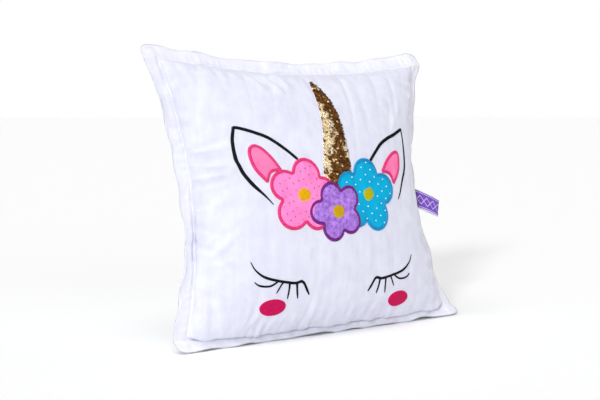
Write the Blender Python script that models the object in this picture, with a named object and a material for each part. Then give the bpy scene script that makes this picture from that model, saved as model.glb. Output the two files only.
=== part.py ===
"""Unicorn face cushion: two plush panels with a flat border, stuffed, standing on its bottom edge.

Metres, +Z up. The face looks along -Y and leans back. The origin is the middle of the base.
Every flat design point is (across, up) on the front panel, measured from the panel's middle.
"""

import math

import bmesh
import bpy
from mathutils import Vector

# Driving dimensions of the cushion
PANEL_WIDTH = 0.450
PANEL_HEIGHT = 0.370
BORDER = 0.020
CLOTH = 0.0012
CLOTH_GAP = 0.0003
FRONT_BULGE = 0.062
BACK_BULGE = 0.064
BULGE_POWER = 0.40
FRONT_LOW_POWER = 2.95
BACK_LOW_POWER = 4.0
PULL_LEFT = 0.028
PULL_RIGHT = 0.037
PULL_TOP = 0.019

# How it stands
LEAN = math.radians(10.4)
SEAM_RISE = 0.0128
SAG_SLOPE = 0.85
SAG_HEIGHT = 0.160
DEPTH_TO_ORIGIN = 0.0271
LEFT_BEND = math.radians(-8.0)
RIGHT_BEND = math.radians(12.0)
TOP_BEND = math.radians(24.0)
BOTTOM_FOLD = math.radians(44.0)

# The face print's small misplacement on the panel
FACE_SHIFT = -0.0042
FACE_TILT = math.radians(-1.84)

# Sewn-on pieces: thickness, gap between layers, stitch width
PATCH = 0.0005
LAYER_GAP = 0.0003
SATIN_WIDTH = 0.0024
WRAP_CELL = 0.012
WRAP_MERGE = 0.0002

# The filling's share of the space inside the covers, and its clearance from the cloth under it
FILLING_WIDTH = 0.985
FILLING_DEPTH = 0.93
FILLING_CLEARANCE = 0.0004

# Threads on the border: width, height off the cloth, and place as a share of the border's width
THREAD_WIDTH = 0.0012
THREAD_RISE = 0.0010
TOPSTITCH_SHARE = 0.20
CLOSING_SHARE = 0.75

# Grid of the covers: cells across and up
ACROSS = 24
UP = 20

CLOSING_ROWS = range(3, 8)

INNER_WIDTH = PANEL_WIDTH / 2 - BORDER
INNER_HEIGHT = PANEL_HEIGHT / 2 - BORDER

# Flowers: middle, petal reach, how deep the notches are, first petal's angle
FLOWERS = {
    "pink": {"middle": (-0.0505, -0.0130), "reach": 0.0462, "petal": 0.563, "turn": 7.5, "layer": 1},
    "blue": {"middle": (0.0475, -0.0130), "reach": 0.0468, "petal": 0.563, "turn": 18.0, "layer": 2},
    "purple": {"middle": (-0.0050, -0.0340), "reach": 0.0375, "petal": 0.575, "turn": 42.0, "layer": 3},
}
FLOWER_HEART = 0.0087
PETAL_STEPS = 6

# Ear on the left half of the face; the right one is its mirror image
EAR_TIP = (-0.1335, 0.0685)
EAR_UPPER = [(-0.0560, 0.0300), (-0.0700, 0.0415), (-0.0900, 0.0555), (-0.1080, 0.0630), (-0.1260, 0.0685)]
EAR_OUTER = [
    (-0.1372, 0.0530), (-0.1350, 0.0320), (-0.1285, 0.0160), (-0.1180, 0.0015), (-0.1030, -0.0135),
    (-0.0940, -0.0235),
]
EAR_LINE = 0.0030
INNER_EAR_OUTER = [(-0.1150, 0.0475), (-0.1185, 0.0350), (-0.1130, 0.0190), (-0.0998, 0.0035)]
INNER_EAR_BASE = [(-0.0998, 0.0035), (-0.0955, 0.0135), (-0.0890, 0.0170), (-0.0805, 0.0175)]
INNER_EAR_UPPER = [(-0.0805, 0.0175), (-0.0900, 0.0310), (-0.1020, 0.0425), (-0.1150, 0.0475)]

# Closed eye on the left half of the face
LID = [
    (-0.1270, -0.0895), (-0.1215, -0.0995), (-0.1105, -0.1075), (-0.0950, -0.1120), (-0.0780, -0.1155),
    (-0.0680, -0.1165), (-0.0585, -0.1145),
]
LID_LINE = 0.0024
LAST_LASH_TIP = (-0.0470, -0.1312)
LASHES = [
    ((-0.0660, -0.1170), (-0.0632, -0.1350)), ((-0.0765, -0.1163), (-0.0780, -0.1345)),
    ((-0.0855, -0.1145), (-0.0940, -0.1270)),
]
LASH_ROOT = 0.0026
LASH_CLEARANCE = 0.0020
UNDER_LINE = 0.0018
UNDER_CLEARANCE = 0.0015
UNDER_LID = [
    (-0.0945, -0.1128), (-0.1000, -0.1170), (-0.1085, -0.1182), (-0.1170, -0.1165), (-0.1230, -0.1125),
]

CHEEK_MIDDLE = (-0.1010, -0.1430)
CHEEK_HALF = (0.0185, 0.0095)

# Horn: half width at shares of its height, its middle, and how far the tip leans left above a level
HORN_BASE = -0.010
HORN_TOP = 0.131
HORN_LEVELS = [(0.0, 0.0235), (0.35, 0.0190), (0.60, 0.0150), (0.78, 0.0120), (0.90, 0.0075), (1.0, 0.0028)]
HORN_MIDDLE = 0.0012
HORN_LEAN = 0.0050
HORN_LEAN_FROM = 0.45
HORN_EDGE_WIDTH = 0.0010

# Label, sewn into the right-hand edge: its height is a share of the seam's half height
LABEL_LENGTH = 0.036
LABEL_WIDTH = 0.023
LABEL_THICK = 0.0012
LABEL_HEIGHT = -0.11
LABEL_EDGE_REACH = 0.05
LABEL_DROOP = math.radians(21.0)
LABEL_TURN = math.radians(-18.0)
LABEL_CLEARANCE = 0.0012


# ---------------------------------------------------------------- scene helpers


def clear_scene():
    for old in list(bpy.data.objects):
        bpy.data.objects.remove(old, do_unlink=True)


def material(name, color, roughness, metallic=0.0):
    mat = bpy.data.materials.new(name)
    mat.use_nodes = True
    shader = mat.node_tree.nodes["Principled BSDF"]
    shader.inputs["Base Color"].default_value = (*color, 1.0)
    shader.inputs["Roughness"].default_value = roughness
    shader.inputs["Metallic"].default_value = metallic
    return mat


def add_object(name, verts, faces, mat):
    mesh = bpy.data.meshes.new(name)
    mesh.from_pydata(verts, [], faces)
    mesh.materials.append(mat)
    bm = bmesh.new()
    bm.from_mesh(mesh)
    bmesh.ops.triangulate(bm, faces=bm.faces[:], quad_method="SHORT_EDGE", ngon_method="EAR_CLIP")
    bmesh.ops.recalc_face_normals(bm, faces=bm.faces[:])
    bm.to_mesh(mesh)
    bm.free()
    mesh.shade_smooth()
    mesh.set_sharp_from_angle(angle=math.radians(40.0))
    obj = bpy.data.objects.new(name, mesh)
    bpy.context.scene.collection.objects.link(obj)
    return obj


# ---------------------------------------------------------------- the stuffed shape


def seam_half_width(up, side):
    """Half width of the sewn-in area at a height from -1 to 1: the sides pull in between the corners."""
    pull = PULL_RIGHT if side > 0 else PULL_LEFT
    return INNER_WIDTH - pull * (1.0 - up * up)


def seam_top(across):
    return INNER_HEIGHT - PULL_TOP * (1.0 - across * across)


def bulge(x, z, depth, low_power):
    """How far a cover stands off the seam plane at a point of that plane."""
    up = max(-1.0, min(1.0, z / INNER_HEIGHT))
    across = min(1.0, abs(x) / seam_half_width(up, x))
    if z > 0.0:
        rise = min(1.0, z / seam_top(min(1.0, abs(x) / INNER_WIDTH)))
        fall = 1.0 - rise ** 2
    else:
        fall = 1.0 - min(1.0, -z / INNER_HEIGHT) ** low_power
    return depth * ((1.0 - across ** 2) * fall) ** BULGE_POWER


def front_bulge(x, z):
    return bulge(x, z, FRONT_BULGE, FRONT_LOW_POWER)


def back_bulge(x, z):
    return bulge(x, z, BACK_BULGE, BACK_LOW_POWER)


def stand_up(x, y, z, floor=0.0):
    """Place a point of the seam frame in the world: lean it back, let the back sag, keep it off the floor."""
    height = z + INNER_HEIGHT
    depth = y * math.cos(LEAN) + height * math.sin(LEAN)
    level = height * math.cos(LEAN) - y * math.sin(LEAN) + SEAM_RISE
    if y > 0.0 and level < SAG_HEIGHT:
        level -= SAG_SLOPE * y * (1.0 - level / SAG_HEIGHT) ** 2
    return (x, depth - DEPTH_TO_ORIGIN, max(level, floor))


def border_direction(column, row):
    """Outward step of the flat border and its front normal, in the seam frame."""
    step = Vector((0.0, 0.0, 0.0))
    normal = Vector((0.0, 0.0, 0.0))
    if column != 0:
        bend = RIGHT_BEND if column > 0 else LEFT_BEND
        step += Vector((column * math.cos(bend), math.sin(bend), 0.0)) * BORDER
        normal += Vector((column * math.sin(bend), -math.cos(bend), 0.0))
    if row > 0:
        step += Vector((0.0, math.sin(TOP_BEND), math.cos(TOP_BEND))) * BORDER
        normal += Vector((0.0, -math.cos(TOP_BEND), math.sin(TOP_BEND)))
    if row < 0:
        step += Vector((0.0, -math.sin(BOTTOM_FOLD), -math.cos(BOTTOM_FOLD))) * BORDER
        normal += Vector((0.0, -math.cos(BOTTOM_FOLD), math.sin(BOTTOM_FOLD)))
    return step, normal.normalized()


def edge_spaced(index, cells):
    """Grid position from -1 to 1, with finer cells towards the seams."""
    return math.sin((index / cells - 0.5) * math.pi)


def seam_point(across, up):
    z = up * (seam_top(across) if up > 0.0 else INNER_HEIGHT)
    return Vector((across * seam_half_width(up, across), 0.0, z))


def cover_point(i, j, shape, sign):
    """Middle plane of one cover at grid place i, j, and its outward normal, in the seam frame."""
    column = -1 if i < 0 else (1 if i > ACROSS else 0)
    row = -1 if j < 0 else (1 if j > UP else 0)
    across = edge_spaced(min(max(i, 0), ACROSS), ACROSS)
    up = edge_spaced(min(max(j, 0), UP), UP)
    base = seam_point(across, up)
    if column or row:
        step, normal = border_direction(column, row)
        return base + step, normal * sign
    on_seam = i in (0, ACROSS) or j in (0, UP)
    if on_seam:
        side = (i == ACROSS) - (i == 0)
        level = (j == UP) - (j == 0)
        _, normal = border_direction(side, level)
        return base, ((normal + Vector((0.0, -1.0, 0.0))) * 0.5).normalized() * sign
    return base + Vector((0.0, -sign * shape(base.x, base.z), 0.0)), Vector((0.0, -sign, 0.0))


def cover(name, shape, sign, mat):
    """One cover: outer and inner skin over the whole grid with its border, closed round the rim."""
    columns = range(-1, ACROSS + 2)
    rows = range(-1, UP + 2)
    verts = []
    place = {}
    for skin, offset, floor in (("out", CLOTH_GAP / 2 + CLOTH, 0.0), ("in", CLOTH_GAP / 2, CLOTH)):
        for i in columns:
            for j in rows:
                middle, normal = cover_point(i, j, shape, sign)
                point = middle + normal * offset
                place[skin, i, j] = len(verts)
                verts.append(stand_up(*point, floor=floor))
    faces = []
    for i in range(-1, ACROSS + 1):
        for j in range(-1, UP + 1):
            corners = [(i, j), (i + 1, j), (i + 1, j + 1), (i, j + 1)]
            faces.append([place["out", a, b] for a, b in corners])
            faces.append([place["in", a, b] for a, b in reversed(corners)])
    rim = [(i, -1) for i in columns]
    rim += [(ACROSS + 1, j) for j in rows][1:]
    rim += [(i, UP + 1) for i in reversed(columns)][1:]
    rim += [(-1, j) for j in reversed(rows)][1:-1]
    for k, here in enumerate(rim):
        after = rim[(k + 1) % len(rim)]
        faces.append([place["out", *here], place["in", *here], place["in", *after], place["out", *after]])
    return add_object(name, verts, faces, mat)


def filling(mat):
    """The fibre block inside both covers, on every second line of their grid."""
    bottom = CLOTH + CLOTH_GAP + FILLING_CLEARANCE
    columns = range(0, ACROSS + 1, 2)
    rows = range(0, UP + 1, 2)
    verts = []
    place = {}
    for side, shape, sign in (("front", front_bulge, 1.0), ("back", back_bulge, -1.0)):
        for i in columns:
            for j in rows:
                rim = i in (0, ACROSS) or j in (0, UP)
                if rim and side == "back":
                    place[side, i, j] = place["front", i, j]
                    continue
                base = seam_point(edge_spaced(i, ACROSS), edge_spaced(j, UP))
                depth = 0.0 if rim else FILLING_DEPTH * shape(base.x, base.z)
                place[side, i, j] = len(verts)
                x = base.x * FILLING_WIDTH
                z = base.z * FILLING_WIDTH
                verts.append(stand_up(x, -sign * depth, z, floor=bottom))
    faces = []
    for i in columns[:-1]:
        for j in rows[:-1]:
            corners = [(i, j), (i + 2, j), (i + 2, j + 2), (i, j + 2)]
            faces.append([place["front", a, b] for a, b in corners])
            faces.append([place["back", a, b] for a, b in reversed(corners)])
    return add_object("filling", verts, faces, mat)


# ---------------------------------------------------------------- flat designs, wrapped on the front


def on_front(across, up, height):
    """World place of a design point, a given height off the front cover."""
    x = math.cos(FACE_TILT) * across - math.sin(FACE_TILT) * up + FACE_SHIFT
    z = math.sin(FACE_TILT) * across + math.cos(FACE_TILT) * up
    skin = CLOTH_GAP / 2 + CLOTH
    return stand_up(x, -(front_bulge(x, z) + skin + height), z)


def layer_height(layer):
    return LAYER_GAP + layer * (PATCH + LAYER_GAP)


def plate(name, outline, layer, mat):
    """A flat shape as a thin solid wrapped on the front cover, with cross cuts so that it can bend."""
    bm = bmesh.new()
    bm.faces.new([bm.verts.new((x, 0.0, z)) for x, z in outline])
    for axis in (0, 2):
        low = min(point[axis // 2] for point in outline)
        high = max(point[axis // 2] for point in outline)
        for k in range(math.ceil(low / WRAP_CELL), math.ceil(high / WRAP_CELL)):
            cut = Vector((0.0, 0.0, 0.0))
            cut[axis] = k * WRAP_CELL
            normal = Vector((0.0, 0.0, 0.0))
            normal[axis] = 1.0
            parts = bm.verts[:] + bm.edges[:] + bm.faces[:]
            bmesh.ops.bisect_plane(bm, geom=parts, plane_co=cut, plane_no=normal, dist=WRAP_MERGE)
    bmesh.ops.triangulate(bm, faces=bm.faces[:], quad_method="BEAUTY", ngon_method="BEAUTY")
    bm.verts.index_update()
    count = len(bm.verts)
    base = layer_height(layer)
    flat = [(v.co.x, v.co.z) for v in bm.verts]
    verts = [on_front(x, z, base) for x, z in flat] + [on_front(x, z, base + PATCH) for x, z in flat]
    faces = []
    for face in bm.faces:
        ring = [v.index for v in face.verts]
        faces.append(ring)
        faces.append([k + count for k in reversed(ring)])
    for edge in bm.edges:
        if edge.is_boundary:
            a, b = (v.index for v in edge.verts)
            faces.append([a, b, b + count, a + count])
    bm.free()
    return add_object(name, verts, faces, mat)


def band(name, outer, inner, layer, mat):
    """A closed strip between two outlines with the same number of points."""
    base = layer_height(layer)
    count = len(outer)
    verts = []
    for height in (base, base + PATCH):
        verts += [on_front(x, z, height) for x, z in outer]
        verts += [on_front(x, z, height) for x, z in inner]
    faces = []
    for k in range(count):
        n = (k + 1) % count
        low_out, low_in, top_out, top_in = k, k + count, k + 2 * count, k + 3 * count
        next_low_out, next_low_in, next_top_out, next_top_in = n, n + count, n + 2 * count, n + 3 * count
        faces.append([low_out, low_in, next_low_in, next_low_out])
        faces.append([top_out, next_top_out, next_top_in, top_in])
        faces.append([low_out, next_low_out, next_top_out, top_out])
        faces.append([low_in, top_in, next_top_in, next_low_in])
    return add_object(name, verts, faces, mat)


def smooth_line(points, steps):
    """A curve through the points (Catmull-Rom), with a number of steps for each stretch."""
    ends = [(2 * points[0][0] - points[1][0], 2 * points[0][1] - points[1][1])]
    ends += list(points)
    ends.append((2 * points[-1][0] - points[-2][0], 2 * points[-1][1] - points[-2][1]))
    line = []
    for k in range(1, len(ends) - 2):
        p0, p1, p2, p3 = (Vector(ends[m]) for m in (k - 1, k, k + 1, k + 2))
        for s in range(steps):
            t = s / steps
            point = 0.5 * (2 * p1 + (p2 - p0) * t + (2 * p0 - 5 * p1 + 4 * p2 - p3) * t ** 2
                           + (3 * p1 - p0 - 3 * p2 + p3) * t ** 3)
            line.append((point.x, point.y))
    line.append(tuple(points[-1]))
    return line


def sides_of(line, width_at):
    """The two sides of a drawn line, whose width is a function of its length from 0 to 1."""
    left = []
    right = []
    for k, point in enumerate(line):
        before = Vector(line[max(k - 1, 0)])
        after = Vector(line[min(k + 1, len(line) - 1)])
        along = (after - before).normalized()
        half = width_at(k / (len(line) - 1)) / 2
        left.append((point[0] - along.y * half, point[1] + along.x * half))
        right.append((point[0] + along.y * half, point[1] - along.x * half))
    return left, right


def inset(outline, distance):
    """The outline moved inwards, with mitred corners. It runs anticlockwise."""
    moved = []
    count = len(outline)
    for k in range(count):
        here = Vector(outline[k])
        back = (here - Vector(outline[k - 1])).normalized()
        ahead = (Vector(outline[(k + 1) % count]) - here).normalized()
        inward = Vector((-(back.y + ahead.y), back.x + ahead.x)).normalized()
        reach = distance / max(0.45, inward.dot(Vector((-ahead.y, ahead.x))))
        moved.append((here.x + inward.x * reach, here.y + inward.y * reach))
    return moved


def mirrored(outline):
    return [(-x, z) for x, z in reversed(outline)]


def flower_outline(flower, shrink=0.0):
    """Five round petals: circles round the middle, joined where they meet."""
    reach = flower["reach"]
    distance = flower["petal"] * reach
    radius = reach - distance - shrink
    outline = []
    for petal in range(5):
        axis = math.radians(flower["turn"] + 72 * petal)
        for step in range(PETAL_STEPS):
            swing = math.radians(72) * (step / PETAL_STEPS - 0.5)
            inside = max(radius ** 2 - (distance * math.sin(swing)) ** 2, 0.0)
            length = distance * math.cos(swing) + math.sqrt(inside)
            angle = axis + swing
            outline.append((flower["middle"][0] + length * math.cos(angle),
                            flower["middle"][1] + length * math.sin(angle)))
    return outline


def disc_outline(middle, half, steps):
    angles = [math.tau * k / steps for k in range(steps)]
    return [(middle[0] + half[0] * math.cos(a), middle[1] + half[1] * math.sin(a)) for a in angles]


def make_flower(name, flower, cloth, thread, heart):
    outer = flower_outline(flower)
    inner = flower_outline(flower, SATIN_WIDTH)
    plate(f"{name}_flower_patch", flower_outline(flower, SATIN_WIDTH + LAYER_GAP), flower["layer"], cloth)
    band(f"{name}_flower_border", outer, inner, flower["layer"], thread)
    middle = disc_outline(flower["middle"], (FLOWER_HEART, FLOWER_HEART), 14)
    plate(f"{name}_flower_heart", middle, flower["layer"] + 1, heart)


def ear_line_outline():
    """The black ear line: out from the flower, round the tip and back down to a point."""
    upper = smooth_line(EAR_UPPER + [EAR_TIP], 2)
    outer = smooth_line([EAR_TIP] + EAR_OUTER, 2)
    line = upper + outer[1:]

    def width_at(t):
        return EAR_LINE * (1.0 if t < 0.75 else 1.0 - 0.75 * (t - 0.75) / 0.25)

    left, right = sides_of(line, width_at)
    return left + right[::-1]


def inner_ear_outline():
    """Anticlockwise: down the outer side, along the hollow base and back up to the tip."""
    outline = smooth_line(INNER_EAR_OUTER, 3)[:-1]
    outline += smooth_line(INNER_EAR_BASE, 2)[:-1]
    outline += smooth_line(INNER_EAR_UPPER, 3)[:-1]
    return outline


def make_ears(side, turn, black, pink, pink_thread):
    line = ear_line_outline()
    outer = inner_ear_outline()
    thread_edge = inset(outer, SATIN_WIDTH)
    patch_edge = inset(outer, SATIN_WIDTH + LAYER_GAP)
    plate(f"{side}_ear_outline", turn(line), 0, black)
    plate(f"{side}_inner_ear_patch", turn(patch_edge), 0, pink)
    band(f"{side}_inner_ear_border", turn(outer), turn(thread_edge), 0, pink_thread)


def lash_spike(root, tip):
    """A lash as three points: it starts with the root's width and ends in a point."""
    along = (Vector(tip) - Vector(root)).normalized()
    half = LASH_ROOT / 2
    first = (root[0] - along.y * half, root[1] + along.x * half)
    last = (root[0] + along.y * half, root[1] - along.x * half)
    return [first, tip, last]


def eye_outline():
    """One closed eye: the lid, its last lash, the three lashes below it and the line under the lid."""
    lid = smooth_line(LID, 2)
    above, below = sides_of(lid, lambda t: LID_LINE * min(1.0, 0.35 + 4 * t))
    corner = LID[-1]
    outline = above + [(corner[0] + LID_LINE, corner[1] - LID_LINE / 3), LAST_LASH_TIP]
    outline.append((corner[0], corner[1] - 1.25 * LID_LINE))
    under = smooth_line(UNDER_LID, 2)
    under_low, under_high = sides_of(under, lambda t: UNDER_LINE * (1.15 - t))
    spikes = [lash_spike(root, tip) for root, tip in LASHES]
    for point in reversed(below[:-1]):
        while spikes and point[0] < spikes[0][0][0]:
            outline += spikes.pop(0)
        if under and point[0] < UNDER_LID[0][0]:
            outline += under_low + under_high[::-1]
            under = []
        clear_of_lashes = all(abs(point[0] - root[0]) > LASH_CLEARANCE for root, _ in LASHES)
        if clear_of_lashes and abs(point[0] - UNDER_LID[0][0]) > UNDER_CLEARANCE:
            outline.append(point)
    return outline


def horn_half_width(t):
    for (t0, w0), (t1, w1) in zip(HORN_LEVELS, HORN_LEVELS[1:]):
        if t <= t1:
            return w0 + (w1 - w0) * (t - t0) / (t1 - t0)
    return HORN_LEVELS[-1][1]


def horn_outline(grow=0.0):
    """Anticlockwise up the right side and down the left; the tip leans to the left."""
    steps = 12
    right = []
    left = []
    for k in range(steps + 1):
        t = k / steps
        z = HORN_BASE + t * (HORN_TOP + grow - HORN_BASE)
        middle = HORN_MIDDLE - HORN_LEAN * max(0.0, t - HORN_LEAN_FROM) / (1.0 - HORN_LEAN_FROM)
        half = horn_half_width(t) + grow
        right.append((middle + half, z))
        left.append((middle - half, z))
    return right + left[::-1]


# ---------------------------------------------------------------- seams and label


def border_skin(i, j, shape, sign, share):
    """A point on the outside of the border, a share of its width out from seam place i, j."""
    column = (i == ACROSS) - (i == 0)
    row = (j == UP) - (j == 0)
    skin = CLOTH_GAP / 2 + CLOTH
    seam, seam_normal = cover_point(i, j, shape, sign)
    edge, edge_normal = cover_point(i + column, j + row, shape, sign)
    start = seam + seam_normal * skin
    point = start.lerp(edge + edge_normal * skin, share)
    return point, edge_normal


def thread_strip(name, places, shape, sign, share, closed, mat):
    """A flat run of thread along the border, over a list of seam places."""
    low = THREAD_RISE
    high = THREAD_RISE + PATCH
    wide = share + THREAD_WIDTH / BORDER
    verts = []
    for i, j in places:
        for across, height in ((share, low), (wide, low), (wide, high), (share, high)):
            point, normal = border_skin(i, j, shape, sign, across)
            verts.append(stand_up(*(point + normal * height)))
    faces = []
    count = len(places)
    for k in range(count if closed else count - 1):
        here = 4 * k
        after = 4 * ((k + 1) % count)
        for side in range(4):
            turn = (side + 1) % 4
            faces.append([here + side, here + turn, after + turn, after + side])
    if not closed:
        last = 4 * (count - 1)
        faces += [[0, 1, 2, 3], [last + 3, last + 2, last + 1, last]]
    return add_object(name, verts, faces, mat)


def border_topstitch(mat):
    """The loop of topstitching on the front of the border, just outside the seam."""
    loop = [(i, 0) for i in range(ACROSS)]
    loop += [(ACROSS, j) for j in range(UP)]
    loop += [(i, UP) for i in range(ACROSS, 0, -1)]
    loop += [(0, j) for j in range(UP, 0, -1)]
    return thread_strip("border_topstitch", loop, front_bulge, 1.0, TOPSTITCH_SHARE, True, mat)


def closing_seam(mat):
    """The hand-sewn stretch that closes the cover: low on the right side, on the back of the border."""
    places = [(ACROSS, j) for j in CLOSING_ROWS]
    return thread_strip("closing_seam", places, back_bulge, -1.0, CLOSING_SHARE, False, mat)


def label_frame():
    """Root point, sewn-edge direction and length direction of the label, in the world."""
    step, _ = border_direction(1, 0)
    outward = step.normalized()
    places = []
    for up in (LABEL_HEIGHT - LABEL_EDGE_REACH, LABEL_HEIGHT, LABEL_HEIGHT + LABEL_EDGE_REACH):
        point = seam_point(1.0, up) + step + outward * LABEL_CLEARANCE
        places.append(Vector(stand_up(*point)))
    edge = (places[2] - places[0]).normalized()
    level = Vector((math.cos(LABEL_TURN), math.sin(LABEL_TURN), 0.0)) * math.cos(LABEL_DROOP)
    along = level - Vector((0.0, 0.0, math.sin(LABEL_DROOP)))
    return places[1], edge, along


def make_label(mat):
    """The folded woven label, closed flat. Its object sits on the sewn edge, which is its hinge."""
    root, edge, along = label_frame()
    normal = along.cross(edge).normalized()
    across = normal.cross(along).normalized()
    root_half = edge * (LABEL_WIDTH / 2 / edge.dot(across))
    end_half = (edge + across).normalized() * (LABEL_WIDTH / 2)
    corners = [-root_half, along * LABEL_LENGTH - end_half, along * LABEL_LENGTH + end_half, root_half]
    verts = [tuple(c - normal * (LABEL_THICK / 2)) for c in corners]
    verts += [tuple(c + normal * (LABEL_THICK / 2)) for c in corners]
    faces = [[3, 2, 1, 0], [4, 5, 6, 7]]
    faces += [[k, (k + 1) % 4, (k + 1) % 4 + 4, k + 4] for k in range(4)]
    label = add_object("label", verts, faces, mat)
    label.location = root
    return label


# ---------------------------------------------------------------- assembly


def build():
    clear_scene()
    plush = material("white_plush", (0.90, 0.90, 0.93), 0.95)
    fibre = material("polyester_fibre", (0.95, 0.95, 0.95), 1.0)
    white_thread = material("white_thread", (0.88, 0.88, 0.92), 0.6)
    black_thread = material("black_thread", (0.012, 0.012, 0.018), 0.45)
    pink_plush = material("pink_plush", (0.95, 0.22, 0.55), 0.9)
    pink_thread = material("hot_pink_thread", (0.80, 0.04, 0.22), 0.4)
    blue_plush = material("blue_plush", (0.0, 0.42, 0.75), 0.9)
    blue_thread = material("blue_thread", (0.0, 0.24, 0.60), 0.4)
    purple_velvet = material("purple_velvet", (0.42, 0.20, 0.72), 0.9)
    purple_thread = material("purple_thread", (0.20, 0.02, 0.22), 0.4)
    yellow_thread = material("yellow_thread", (0.78, 0.46, 0.02), 0.4)
    cheek_thread = material("cheek_thread", (0.66, 0.01, 0.10), 0.45)
    sequin = material("gold_sequin", (0.70, 0.42, 0.12), 0.25, 1.0)
    woven = material("purple_woven", (0.16, 0.04, 0.48), 0.7)

    cover("front_cover", front_bulge, 1.0, plush)
    cover("back_cover", back_bulge, -1.0, plush)
    filling(fibre)
    border_topstitch(white_thread)
    closing_seam(white_thread)

    plate("horn_patch", horn_outline(), 0, sequin)
    stitch_outer = horn_outline(LAYER_GAP + HORN_EDGE_WIDTH)
    band("horn_edge_stitch", stitch_outer, horn_outline(LAYER_GAP), 0, white_thread)
    make_flower("pink", FLOWERS["pink"], pink_plush, pink_thread, yellow_thread)
    make_flower("blue", FLOWERS["blue"], blue_plush, blue_thread, yellow_thread)
    make_flower("purple", FLOWERS["purple"], purple_velvet, purple_thread, yellow_thread)

    for side, turn in (("left", list), ("right", mirrored)):
        make_ears(side, turn, black_thread, pink_plush, pink_thread)
        plate(f"{side}_eye_embroidery", turn(eye_outline()), 0, black_thread)
        plate(f"{side}_cheek", turn(disc_outline(CHEEK_MIDDLE, CHEEK_HALF, 20)), 0, cheek_thread)
    make_label(woven)


build()
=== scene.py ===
"""Looks for the unicorn face cushion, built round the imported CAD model.

Metres, +Z up, in the CAD's own frame. The face looks along -Y and leans back, and the cushion stands on
its bottom edge. Every flat design point is (across, up) on the front panel, from the panel's middle.
"""

import math

import bmesh
import bpy
import numpy as np
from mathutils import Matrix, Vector


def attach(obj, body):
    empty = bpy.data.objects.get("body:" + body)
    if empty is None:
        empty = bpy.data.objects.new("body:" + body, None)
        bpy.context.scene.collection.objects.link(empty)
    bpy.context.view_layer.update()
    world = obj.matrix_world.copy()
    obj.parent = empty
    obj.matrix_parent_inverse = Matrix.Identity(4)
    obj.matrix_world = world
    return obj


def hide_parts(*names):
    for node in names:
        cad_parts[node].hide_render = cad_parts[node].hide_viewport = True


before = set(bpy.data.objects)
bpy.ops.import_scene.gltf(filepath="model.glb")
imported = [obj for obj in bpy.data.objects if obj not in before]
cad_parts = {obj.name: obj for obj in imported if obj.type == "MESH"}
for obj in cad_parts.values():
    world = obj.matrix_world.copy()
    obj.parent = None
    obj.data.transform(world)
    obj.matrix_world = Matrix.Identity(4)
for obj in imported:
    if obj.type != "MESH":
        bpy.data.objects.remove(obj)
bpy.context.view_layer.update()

# ---------------------------------------------------------------- the cushion's measures, as in the CAD

PANEL_WIDTH = 0.450
PANEL_HEIGHT = 0.370
BORDER = 0.020
FRONT_BULGE = 0.062
BACK_BULGE = 0.064
BULGE_POWER = 0.40
FRONT_LOW_POWER = 2.95
BACK_LOW_POWER = 4.0
PULL_LEFT = 0.028
PULL_RIGHT = 0.037
PULL_TOP = 0.019
LEAN = math.radians(10.4)
SEAM_RISE = 0.0128
SAG_SLOPE = 0.85
SAG_HEIGHT = 0.160
DEPTH_TO_ORIGIN = 0.0271
LEFT_BEND = math.radians(-8.0)
RIGHT_BEND = math.radians(12.0)
TOP_BEND = math.radians(24.0)
BOTTOM_FOLD = math.radians(44.0)
FACE_SHIFT = -0.0042
FACE_TILT = math.radians(-1.84)
INNER_WIDTH = PANEL_WIDTH / 2 - BORDER
INNER_HEIGHT = PANEL_HEIGHT / 2 - BORDER

# Camera: its place, the way it looks and its lens in millimetres
CAMERA_PLACE = (-0.983, -1.202, 0.272)
CAMERA_WAY = (0.6251, 0.7774, -0.0701)
CAMERA_LENS = 74.4

# Studio: how bright the surroundings are, and each light's direction, strength, spread and colour
HORIZON_BRIGHT = 1.0
SKY_AHEAD = 0.40
SKY_BEHIND = 0.12
SKY_AXIS = (0.627, 0.779, 0.0)
HORIZON_BAND = (0.11, 0.30)
SKY_TURN = (-0.55, 0.75)
FLOOR_REACH = 60.0
FLOOR_COLOR = (0.97, 0.967, 0.96, 1.0)
FLOOR_ROUGHNESS = 0.9
SUNS = [
    ("overhead", (0.30, 0.15, -1.0), 1.80, math.radians(50.0), (1.0, 0.99, 1.0)),
    ("key", (0.765, 0.530, -0.360), 1.58, math.radians(8.0), (0.92, 1.0, 0.97)),
    ("fill", (0.15, 0.97, -0.04), 1.00, math.radians(60.0), (1.0, 0.98, 1.0)),
]

# Cloth grid for the simulation: cells across, up and over the border's width
CELLS_ACROSS = 102
CELLS_UP = 82
CELLS_BORDER = 5
# The cloth is this much larger than the space it fills, which is what wrinkles it
EXTRA_CLOTH = 1.05
SIM_FRAMES = 30
DRIFT_CELLS = 6.0
MOVE_SHARE = 0.5
MOVE_CAP = 0.005
# Share of the held vertices' pinning, and the cloth's own settings
HOLD_WEIGHT = 0.2
CLOTH_SETTINGS = {
    "quality": 6, "mass": 0.25, "pin_stiffness": 0.6, "air_damping": 6,
    "tension_stiffness": 30, "compression_stiffness": 30, "shear_stiffness": 10, "bending_stiffness": 2.0,
    "tension_damping": 12, "compression_damping": 12, "shear_damping": 10, "bending_damping": 2,
    "use_pressure": True, "uniform_pressure_force": 4.0,
}

# Puckers along the seams: how far apart, how wide, how far in they run, how much they slant and how deep they
# are, each one taking a share of the full depth
PUCKER_STEP = (0.013, 0.026)
PUCKER_WIDTH = (0.0035, 0.0065)
PUCKER_REACH = (0.010, 0.030)
PUCKER_SLANT = 0.35
PUCKER_DEPTH = 0.0018
PUCKER_SHARE = (0.35, 1.0)
# Padding of the border, the ruffle that the puckers leave in it, and the pinch at the stitches
BORDER_PUFF = 0.0023
BORDER_WAVE = 0.0016
SEAM_PINCH = 0.0007
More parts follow.
